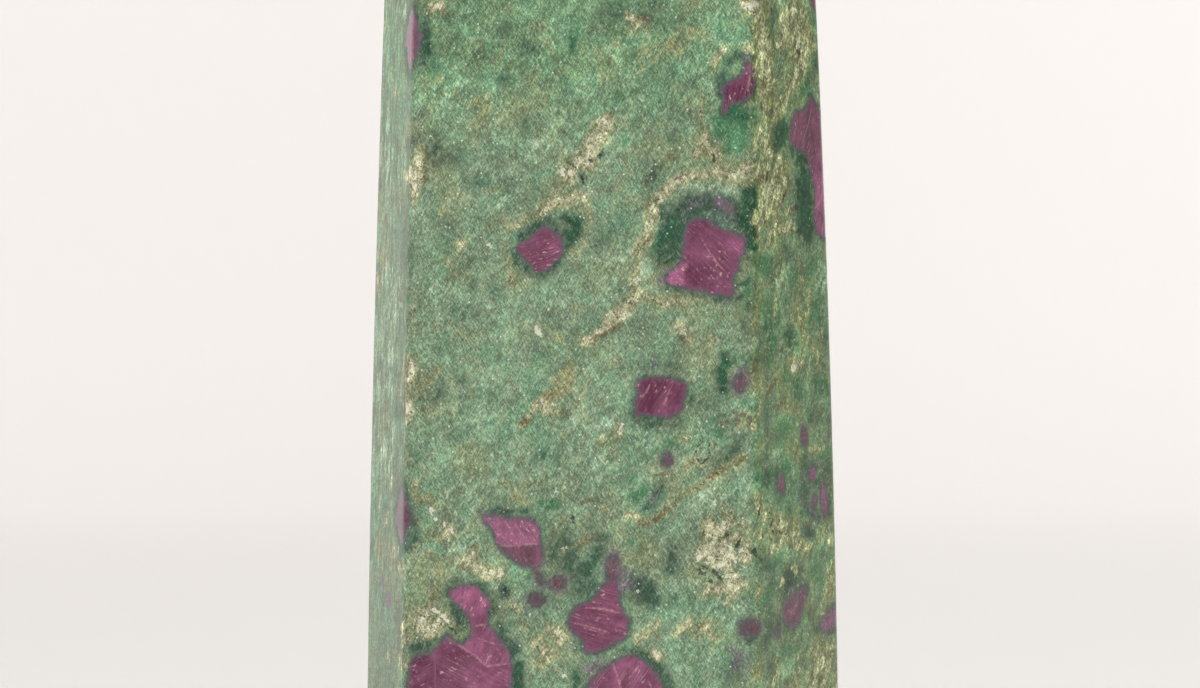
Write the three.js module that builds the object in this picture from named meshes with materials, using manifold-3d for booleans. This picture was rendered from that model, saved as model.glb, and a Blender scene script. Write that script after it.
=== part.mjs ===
// A polished point of ruby in fuchsite: one stone, ground to a six-sided tower that stands on a flat foot and
// ends in a six-faceted tip. Millimetres, +Z up, origin at the middle of the foot, one wide face front (-Y).
import * as THREE from "three";
import { mergeVertices } from "three/addons/utils/BufferGeometryUtils.js";
import Module from "manifold-3d";

// Driving dimensions
const height = 187; // foot to tip
const tipMeeting = new THREE.Vector3(0.9, 0.6, 188.2); // where the tip's facets would meet if left sharp
const edgeSoftness = 1.4; // how far the rounding of a long edge reaches into each face
const footSoftness = 1.0; // the same for the edge round the foot
const shoulderSoftness = 1.3; // and for the edges between the shaft and the tip
const tipBluntness = 0.05; // share of the tip's facets taken up by its rounding

// The six long edges, anticlockwise seen from above and starting at the front left. Each runs from its corner
// of the foot to its corner of the shoulder, and draws in with the square of the height, so the faces are
// slightly full.
const longEdges = [
  { foot: [-22.4, -26.0], shoulder: [-20.7, -23.3], shoulderHeight: 152.4 },
  { foot: [22.3, -26.0], shoulder: [21.3, -23.3], shoulderHeight: 154.2 },
  { foot: [31.4, 0.6], shoulder: [27.4, 0.4], shoulderHeight: 151.6 },
  { foot: [21.4, 26.0], shoulder: [19.6, 23.1], shoulderHeight: 153.1 },
  { foot: [-23.2, 26.0], shoulder: [-20.7, 23.1], shoulderHeight: 155.0 },
  { foot: [-31.4, -0.7], shoulder: [-28.3, -0.5], shoulderHeight: 152.8 },
];

// How finely the rounded and slightly curved stretches are cut into flats
const edgeFlats = 4;
const shaftFlats = 9;
const softFlats = 3;

// Natural pits that the polish leaves open. Each is at a place along a face, from 0 at its left edge to 1 at
// its right edge seen from outside, at a height, with its size across, up and into the stone, and its turn in
// degrees to the right. Face 0 is the front one, and the others follow anticlockwise seen from above.
const pits = [
  { face: 0, along: 0.507, up: 113.5, size: [0.8, 1.6, 0.5], turn: -22 },
  { face: 0, along: 0.559, up: 116.8, size: [0.8, 1.4, 0.4], turn: 24 },
  { face: 0, along: 0.475, up: 115.3, size: [0.6, 1.6, 0.3], turn: -38 },
  { face: 1, along: 0.162, up: 71.8, size: [1.1, 1.9, 0.4], turn: 8 },
  { face: 1, along: 0.192, up: 69.2, size: [1.7, 1.4, 0.5], turn: -20 },
  { face: 1, along: 0.066, up: 66.9, size: [1.2, 1.7, 0.5], turn: 12 },
  { face: 2, along: 0.35, up: 84.0, size: [2.6, 1.4, 0.5], turn: 40 },
  { face: 3, along: 0.62, up: 121.0, size: [3.0, 1.5, 0.6], turn: 37 },
  { face: 3, along: 0.3, up: 42.0, size: [2.0, 1.5, 0.5], turn: 20 },
  { face: 4, along: 0.55, up: 66.0, size: [2.4, 1.3, 0.5], turn: 45 },
];
const pitFloorShare = 0.62; // how wide a pit's floor is beside its mouth

const shaftColour = 0x6b957a; // fuchsite green, the average of the stone's surface

// The corner of long edge i at a share of its way up the shaft
function cornerAt(i, share) {
  const { foot, shoulder, shoulderHeight } = longEdges[i];
  const drawnIn = share * share;
  return new THREE.Vector3(
    THREE.MathUtils.lerp(foot[0], shoulder[0], drawnIn),
    THREE.MathUtils.lerp(foot[1], shoulder[1], drawnIn),
    share * shoulderHeight,
  );
}

// The closed outline of the shaft at a share of its height: six sides, a quadratic curve round each corner
function outlineAt(share) {
  const corners = longEdges.map((_, i) => cornerAt(i, share));
  return corners.flatMap((corner, i) => {
    const before = corners.at(i - 1);
    const after = corners[(i + 1) % corners.length];
    const towards = (other) => corner.clone().add(other.clone().sub(corner).setLength(edgeSoftness));
    return new THREE.QuadraticBezierCurve3(towards(before), corner, towards(after)).getPoints(edgeFlats);
  });
}

const footOutline = outlineAt(0);
const shoulderOutline = outlineAt(1);

// One column of points: round the edge of the foot, up the shaft, over the shoulder and up to the tip
function columnAt(k) {
  const bend = (from, through, to) => new THREE.QuadraticBezierCurve3(from, through, to).getPoints(softFlats);
  const foot = footOutline[k];
  const shoulder = shoulderOutline[k];
  const onShaft = (up) => {
    const share = up / shoulder.z;
    return foot.clone().lerp(shoulder, share * share).setZ(up);
  };
  const onTip = (share) => shoulder.clone().lerp(tipMeeting, share);
  const tipLength = shoulder.distanceTo(tipMeeting);

  const footEdge = bend(foot.clone().setLength(foot.length() - footSoftness), foot, onShaft(footSoftness));
  const shaftEnd = shoulder.z - shoulderSoftness;
  const shaft = Array.from({ length: shaftFlats - 1 }, (_, i) =>
    onShaft(THREE.MathUtils.lerp(footSoftness, shaftEnd, (i + 1) / shaftFlats)),
  );
  const shoulderEdge = bend(onShaft(shaftEnd), shoulder, onTip(shoulderSoftness / tipLength));
  const tipTop = tipMeeting.clone().setZ(height);
  const tipTurn = onTip(1 - tipBluntness / 3).setZ(height);
  const tipEdge = bend(onTip(1 - tipBluntness), tipTurn, tipTop);
  tipEdge.pop(); // the tip itself is one point for all columns
  return [...footEdge, ...shaft, ...shoulderEdge, ...tipEdge];
}

// Joins the columns into one closed skin, with a point in the middle of the foot and one at the tip
function shaftGeometry() {
  const columns = footOutline.map((_, k) => columnAt(k));
  const levels = columns[0].length;
  const points = [...columns.flat(), new THREE.Vector3(0, 0, 0), tipMeeting.clone().setZ(height)];
  const footMiddle = points.length - 2;
  const tip = points.length - 1;
  const index = [];
  columns.forEach((_, k) => {
    const here = k * levels;
    const next = ((k + 1) % columns.length) * levels;
    index.push(footMiddle, next, here);
    for (let i = 0; i < levels - 1; i++) {
      index.push(here + i, next + i, next + i + 1);
      index.push(here + i, next + i + 1, here + i + 1);
    }
    index.push(here + levels - 1, next + levels - 1, tip);
  });
  return new THREE.BufferGeometry().setFromPoints(points).setIndex(index);
}

// A shallow plug that narrows to a flat floor and stands as far out of the face as it goes in, to be cut out
function pitGeometry({ face, along, up, size, turn }) {
  const rightEdge = (face + 1) % longEdges.length;
  const shaftHeight = (longEdges[face].shoulderHeight + longEdges[rightEdge].shoulderHeight) / 2;
  const left = cornerAt(face, up / shaftHeight).setZ(up);
  const right = cornerAt(rightEdge, up / shaftHeight).setZ(up);
  const across = right.clone().sub(left).normalize();
  const upwards = new THREE.Vector3(0, 0, 1);
  const outwards = across.clone().cross(upwards);
  const [width, tall, deep] = size;
  return new THREE.CylinderGeometry(0.5 * (2 - pitFloorShare), 0.5 * pitFloorShare, 2, 8)
    .scale(width, deep, tall)
    .rotateY(THREE.MathUtils.degToRad(turn))
    .applyMatrix4(new THREE.Matrix4().makeBasis(across, outwards, upwards.negate()))
    .translate(...left.lerp(right, along).toArray());
}

const wasm = await Module();
wasm.setup();

function solidFrom(geometry) {
  const bare = geometry.index ? geometry.toNonIndexed() : geometry.clone();
  bare.deleteAttribute("normal");
  bare.deleteAttribute("uv");
  const merged = mergeVertices(bare, 1e-4);
  return new wasm.Manifold(
    new wasm.Mesh({
      numProp: 3,
      vertProperties: merged.attributes.position.array,
      triVerts: new Uint32Array(merged.index.array),
    }),
  );
}

function geometryFrom(solid) {
  const mesh = solid.getMesh();
  return new THREE.BufferGeometry()
    .setAttribute("position", new THREE.BufferAttribute(mesh.vertProperties, 3))
    .setIndex(new THREE.BufferAttribute(mesh.triVerts, 1));
}

const stone = wasm.Manifold.difference([shaftGeometry(), ...pits.map(pitGeometry)].map(solidFrom));

const point = new THREE.Mesh(
  geometryFrom(stone),
  new THREE.MeshStandardMaterial({ color: shaftColour, roughness: 0.3, metalness: 0 }),
);
point.name = "ruby_fuchsite_point";

const part = new THREE.Group();
part.add(point);

export default part;
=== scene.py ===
import math

import bmesh
import bpy
import numpy as np
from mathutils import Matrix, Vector


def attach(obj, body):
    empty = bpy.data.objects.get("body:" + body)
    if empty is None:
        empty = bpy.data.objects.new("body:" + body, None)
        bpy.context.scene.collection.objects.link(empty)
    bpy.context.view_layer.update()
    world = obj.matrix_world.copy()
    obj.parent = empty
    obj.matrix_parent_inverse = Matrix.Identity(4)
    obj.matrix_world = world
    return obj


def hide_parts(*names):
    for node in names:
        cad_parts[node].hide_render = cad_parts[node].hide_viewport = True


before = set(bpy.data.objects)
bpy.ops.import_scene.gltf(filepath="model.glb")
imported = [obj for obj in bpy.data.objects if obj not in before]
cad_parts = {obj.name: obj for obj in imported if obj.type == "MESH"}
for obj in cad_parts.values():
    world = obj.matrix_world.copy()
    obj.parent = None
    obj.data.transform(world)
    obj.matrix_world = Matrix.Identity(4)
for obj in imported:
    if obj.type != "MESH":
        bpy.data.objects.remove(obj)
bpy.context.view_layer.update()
mm = 0.001

# the shape of the stone, in mm, the same as the solid's
tower = {
    "height": 187.0,
    "tipMeeting": (0.9, 0.6, 188.2),
    "edgeSoftness": 1.4,
    "footSoftness": 1.0,
    "shoulderSoftness": 1.3,
    "tipBluntness": 0.05,
    # foot corner, shoulder corner, shoulder height, anticlockwise from the front left
    "longEdges": [
        ((-22.4, -26.0), (-20.7, -23.3), 152.4),
        ((22.3, -26.0), (21.3, -23.3), 154.2),
        ((31.4, 0.6), (27.4, 0.4), 151.6),
        ((21.4, 26.0), (19.6, 23.1), 153.1),
        ((-23.2, 26.0), (-20.7, 23.1), 155.0),
        ((-31.4, -0.7), (-28.3, -0.5), 152.8),
    ],
    "columnsPerFace": (92, 42, 18, 26, 18, 26),
    "columnsPerEdge": 4,
    "footRows": 10,
    # steps up the shaft to each height, and on up to the shoulder
    "shaftRows": ((47.0, 44), (138.0, 200), (None, 14)),
    "tipRows": 34,
    "softRows": 4,
    "mergeWithin": 1e-4,
    # how far round a small mark the mesh is made finer, and how far off a face a point still counts as on it
    "fineReach": 0.45,
    "skinDepth": 1,
}
# face, place along it from its left edge, height, size across, up and in, turn to the right in degrees
pits = [
    (0, 0.507, 113.5, (0.8, 1.6, 0.5), -22),
    (0, 0.559, 116.8, (0.8, 1.4, 0.4), 24),
    (0, 0.475, 115.3, (0.6, 1.6, 0.3), -38),
    (1, 0.162, 71.8, (1.1, 1.9, 0.4), 8),
    (1, 0.192, 69.2, (1.7, 1.4, 0.5), -20),
    (1, 0.066, 66.9, (1.2, 1.7, 0.5), 12),
    (2, 0.35, 84.0, (2.6, 1.4, 0.5), 40),
    (3, 0.62, 121.0, (3.0, 1.5, 0.6), 37),
    (3, 0.3, 42.0, (2.0, 1.5, 0.5), 20),
    (4, 0.55, 66.0, (2.4, 1.3, 0.5), 45),
]
# a pit's wall, as shares of its half size, and how far round its middle the mesh is made finer: a share of
# its height, and some mm more
pitWall = {"from": 1.15, "over": 0.55, "fineReach": (1.1, 0.6)}
footCorners = np.array([edge[0] for edge in tower["longEdges"]])
shoulderCorners = np.array([edge[1] for edge in tower["longEdges"]])
shoulderHeights = np.array([edge[2] for edge in tower["longEdges"]])


def bend(start, through, end, steps):
    t = np.linspace(0, 1, steps + 1)[:, None, None]
    return (1 - t) ** 2 * start + 2 * t * (1 - t) * through + t**2 * end


def outline(corners):
    # the six sides with their corners softened, as points with the heights the corners have
    points = []
    for i, corner in enumerate(corners):
        before, after = corners[i - 1], corners[(i + 1) % 6]
        reach = tower["edgeSoftness"]
        start = corner + (before - corner) * reach / np.linalg.norm(before - corner)
        end = corner + (after - corner) * reach / np.linalg.norm(after - corner)
        points += list(bend(start, corner, end, tower["columnsPerEdge"])[:, 0])
        following = after + (corner - after) * reach / np.linalg.norm(corner - after)
        steps = tower["columnsPerFace"][i]
        points += [end + (following - end) * k / steps for k in range(1, steps)]
    return np.array(points + points[:1])


def skinPlaces():
    # rows of points from the middle of the foot, round its edge, up the shaft, over the shoulder, to the tip
    foot = outline(np.column_stack([footCorners, np.zeros(6)]))
    shoulder = outline(np.column_stack([shoulderCorners, shoulderHeights]))
    tip = np.array(tower["tipMeeting"])
    tipTop = np.array([tip[0], tip[1], tower["height"]])
    tipLength = np.linalg.norm(shoulder - tip, axis=1, keepdims=True)

    def onShaft(up):
        share = up / shoulder[:, 2:]
        return np.column_stack([(foot + (shoulder - foot) * share**2)[:, :2], up])

    def onTip(share):
        return shoulder + (tip - shoulder) * share

    footInner = foot * (1 - tower["footSoftness"] / np.linalg.norm(foot, axis=1, keepdims=True))
    shaftStart = np.full((len(foot), 1), tower["footSoftness"])
    shaftEnd = shoulder[:, 2:] - tower["shoulderSoftness"]
    tipStart = tower["shoulderSoftness"] / tipLength
    tipEnd = 1 - tower["tipBluntness"]
    tipTurn = onTip(1 - tower["tipBluntness"] / 3)
    tipTurn[:, 2] = tower["height"]
    soft = tower["softRows"]
    rows = [footInner * k / tower["footRows"] for k in range(tower["footRows"])]
    rows += list(bend(footInner, foot, onShaft(shaftStart), soft))[:-1]
    low = shaftStart
    for height, steps in tower["shaftRows"]:
        high = np.full((len(foot), 1), height) if height else shaftEnd
        rows += [onShaft(low + (high - low) * k / steps) for k in range(steps)]
        low = high
    rows += list(bend(onShaft(shaftEnd), shoulder, onTip(tipStart), soft))[:-1]
    steps = tower["tipRows"]
    rows += [onTip(tipStart + (tipEnd - tipStart) * k / steps) for k in range(steps)]
    rows += list(bend(onTip(tipEnd), tipTurn, tipTop, soft))
    return np.array(rows)


def faceFrame(points, face):
    # how far points lie along a face from its middle, their height, their depth behind it, and its width
    following = (face + 1) % 6
    share = points[:, 2] / (shoulderHeights[face] + shoulderHeights[following]) * 2
    drawn = (share**2)[:, None]
    left = footCorners[face] + (shoulderCorners - footCorners)[face] * drawn
    right = footCorners[following] + (shoulderCorners - footCorners)[following] * drawn
    along = (right - left) / np.linalg.norm(right - left, axis=1, keepdims=True)
    inwards = np.column_stack([-along[:, 1], along[:, 0]])
    offset = points[:, :2] - (left + right) / 2
    width = np.linalg.norm(right - left, axis=1)
    return (offset * along).sum(1), points[:, 2], (offset * inwards).sum(1), width


print("shaping the stone")
skin = skinPlaces()
rowCount, columnCount = skin.shape[0] - 1, skin.shape[1] - 1
stoneMesh = bpy.data.meshes.new("rubyFuchsite")
bm = bmesh.new()
bm.loops.layers.uv.new("OFBake")
bmesh.ops.create_grid(bm, x_segments=columnCount, y_segments=rowCount, size=0.5, calc_uvs=True)
for vertex in bm.verts:
    column = round((vertex.co.x + 0.5) * columnCount)
    row = round((vertex.co.y + 0.5) * rowCount)
    vertex.co = Vector(skin[row, column])
bmesh.ops.remove_doubles(bm, verts=bm.verts, dist=tower["mergeWithin"])

# The ruby crystals that meet the polished surface. For each: its face (0 front, 1 right, 5 left), how deep it
# runs in mm, how light it is, how solid, how far its growth lines lean to the right, the width of its dark
# rim, and its corners on the face, in mm from the face's middle line and from the foot
rubies = [
    # front
    (0, 9, 0.42, 1, -48, 1.0, [(13.3, 108.3), (15.6, 109.1), (17.2, 107.4), (21, 106.5), (20.2, 103.5),
        (19.1, 100.8), (19.3, 98.5), (16, 99.4), (11, 100.2), (10.3, 101.4), (12.7, 103), (12.8, 105.8)]),
    (0, 2, 0.3, 0.55, -40, 0.2, [(16.7, 111.4), (19, 110.1), (18.9, 109.4), (17.3, 110.3)]),
    (0, 6, 0.42, 1, 70, 1.0, [(-8.3, 105.4), (-6.4, 106.3), (-4.8, 108), (-2, 106.3), (-2.6, 103.6),
        (-4.9, 101.5), (-6.8, 103)]),
    (0, 6, 0.2, 1, 12, 0.5, [(20.6, 128.7), (21.6, 127.2), (21.7, 124.4), (20.5, 123.1), (18.8, 123.2),
        (18.2, 121.3), (17.3, 122.4), (18, 123.6), (17.4, 125), (18.8, 126), (20.2, 126.7)]),
    (0, 7, 0.2, 1, 30, 0.7, [(7.2, 88.7), (10, 88.9), (13.4, 88.5), (13.2, 85.6), (12, 83.6), (9.5, 84.1),
        (6.7, 84), (7.1, 86.6)]),
    (0, 3, 0.5, 0.6, 0, 0.2, [(19.1, 88.5), (20.2, 89.6), (21.2, 88.3), (20.5, 86.8), (19.4, 87.1)]),
    (0, 2, 0.6, 0.6, 0, 0.3, [(10.3, 78.3), (11, 79.5), (11.7, 78.7), (11.6, 77.9), (10.9, 77.7)]),
    (0, 5, 0.85, 0.82, -35, 0.5, [(-12.6, 71.7), (-9, 71.1), (-6.1, 71.2), (-5, 69.8), (-4.5, 65.1),
        (-6.8, 65), (-9.8, 67), (-11, 69.4)]),
    (0, 2, 0.45, 0.6, -40, 0.1, [(-6.2, 65), (-5.1, 64.7), (-4.2, 62.4), (-5.2, 63)]),
    (0, 2, 0.5, 0.6, 10, 0.1, [(-4.1, 62.8), (-2.9, 64.2), (-1.6, 63.6), (-1.5, 62.6), (-2.9, 62)]),
    (0, 2, 0.45, 0.5, 0, 0.1, [(-6.8, 61.2), (-5.7, 62.1), (-4.6, 61.4), (-4.4, 60.3), (-5.8, 60)]),
    (0, 11, 0.5, 1, -62, 0.6, [(-17.2, 62), (-15, 62.8), (-12.7, 62.8), (-11.2, 60.8), (-11.6, 57.6),
        (-9.3, 55.5), (-8.3, 52.8), (-8.7, 49), (-11, 44.5), (-19.2, 44.5), (-21.7, 48), (-21.5, 53.8),
        (-18.8, 54), (-16.8, 56.8), (-15.1, 55.1), (-13.3, 56.7), (-14.6, 59.8)]),
    (0, 8, 0.38, 1, -75, 0.5, [(3.5, 63.5), (5, 63), (5.2, 60), (6.5, 58.4), (5.9, 56.2), (3.4, 54.8),
        (0.9, 54.1), (0.2, 56.2), (-1.5, 57.6), (-1, 59.8), (1.4, 60.9)]),
    (0, 2.5, 0.5, 0.65, -30, 0.2, [(3.3, 66.3), (5, 66.8), (5.1, 64), (4.7, 62.6), (3.3, 63.2)]),
    (0, 9, 0.56, 1, 35, 0.5, [(0.9, 50.6), (3, 52.5), (6.7, 54.5), (8.7, 53), (11.2, 49.9), (10.4, 45.4),
        (7, 42.8), (3, 44.2), (0.7, 47.6)]),
    # right
    (1, 9, 0.5, 0.9, 40, 0.8, [(0, 119.6), (2.4, 123), (6, 122.8), (8.4, 125.4), (13, 122.5), (15.7, 118),
        (15.3, 106.6), (9, 107), (8.3, 110), (9.2, 112.4), (7.3, 115.4), (6.4, 117.6), (1.8, 117.9)]),
    (1, 5, 0.5, 1, 60, 0.8, [(10, 136.6), (13.5, 136.2), (15.5, 140), (13, 141.5), (10.5, 139.5)]),
    (1, 2, 0.4, 0.75, 0, 0.5, [(1.8, 80.2), (4, 80), (4.2, 82.2), (2, 82.6)]),
    (1, 3, 0.5, 0.9, 20, 0.8, [(-6.4, 75.4), (-5, 76.8), (-3.6, 75.2), (-4.6, 73.5)]),
    (1, 3, 0.6, 0.85, 70, 0.7, [(4.1, 75.8), (5.3, 77.5), (7.3, 77), (6, 75.2)]),
    (1, 4, 0.55, 0.85, 10, 0.8, [(8.3, 74.5), (9.9, 75.3), (11.2, 72), (10, 70.6), (8.6, 71.4)]),
    (1, 2, 0.45, 0.45, 10, 0.3, [(5, 73.2), (6.6, 74), (7.6, 73.2), (5.8, 71.3)]),
    (1, 5, 0.25, 0.85, 60, 0.9, [(-5, 57.8), (-4.8, 60.3), (0.5, 61.7), (3.6, 62.4), (2, 59.2),
        (-0.6, 56.8)]),
    (1, 5, 0.6, 0.75, 70, 0.8, [(6.8, 57), (12, 58.9), (14.8, 58.3), (13.6, 56.5), (9.5, 55.6)]),
    (1, 2, 0.3, 0.6, 0, 0.2, [(-14.6, 58.6), (-11.8, 58.3), (-12.7, 56.6), (-14.6, 56.6)]),
    (1, 2, 0.1, 0.55, 0, 0.6, [(-7.8, 57.3), (-6.5, 57.5), (-6.1, 56.4), (-7.4, 56.1)]),
    # left
    (5, 2, 0.5, 0.7, 80, 0.4, [(0.1, 60.6), (2, 61.4), (4.2, 60), (2, 59)]),
]
# Parts of them that are lighter or darker, or that grew another way: face, tone, lean and corners
zones = [
    (0, 0.9, -48, [(13.3, 103.2), (13.2, 100), (10, 100), (10, 102.5)]),
    (0, 0.1, 60, [(-22.5, 54.5), (-18.6, 54), (-18.1, 49), (-18.3, 44), (-22.5, 44)]),
    (0, 0.72, 25, [(-15.2, 55.2), (-17.6, 63), (-10, 63), (-8, 53), (-11.6, 52.5)]),
    (0, 0.4, -6, [(-11, 67.7), (-4.5, 67.9), (-4, 64.8), (-8, 65)]),
    (0, 0.72, 35, [(2.6, 52.6), (4.3, 53.6), (5.2, 50.2), (5.3, 47), (4, 47)]),
    (0, 0.25, 30, [(6.5, 83.5), (7, 85.4), (13.5, 85.2), (13.5, 83.5)]),
    (1, 0.8, 35, [(7, 114.6), (16, 115.4), (16, 106), (7.5, 106)]),
]
# The crystals that run round the front left edge, pointed at both ends: middle from that edge (across, up,
# in), reach each way, and how light they are
spindles = [((-0.5, 131.6, 2.6), (1.9, 4.1, 6.5), 0.6), ((-0.6, 71.3, 3.2), (2.3, 3.7, 5.5), 0.0)]
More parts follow.
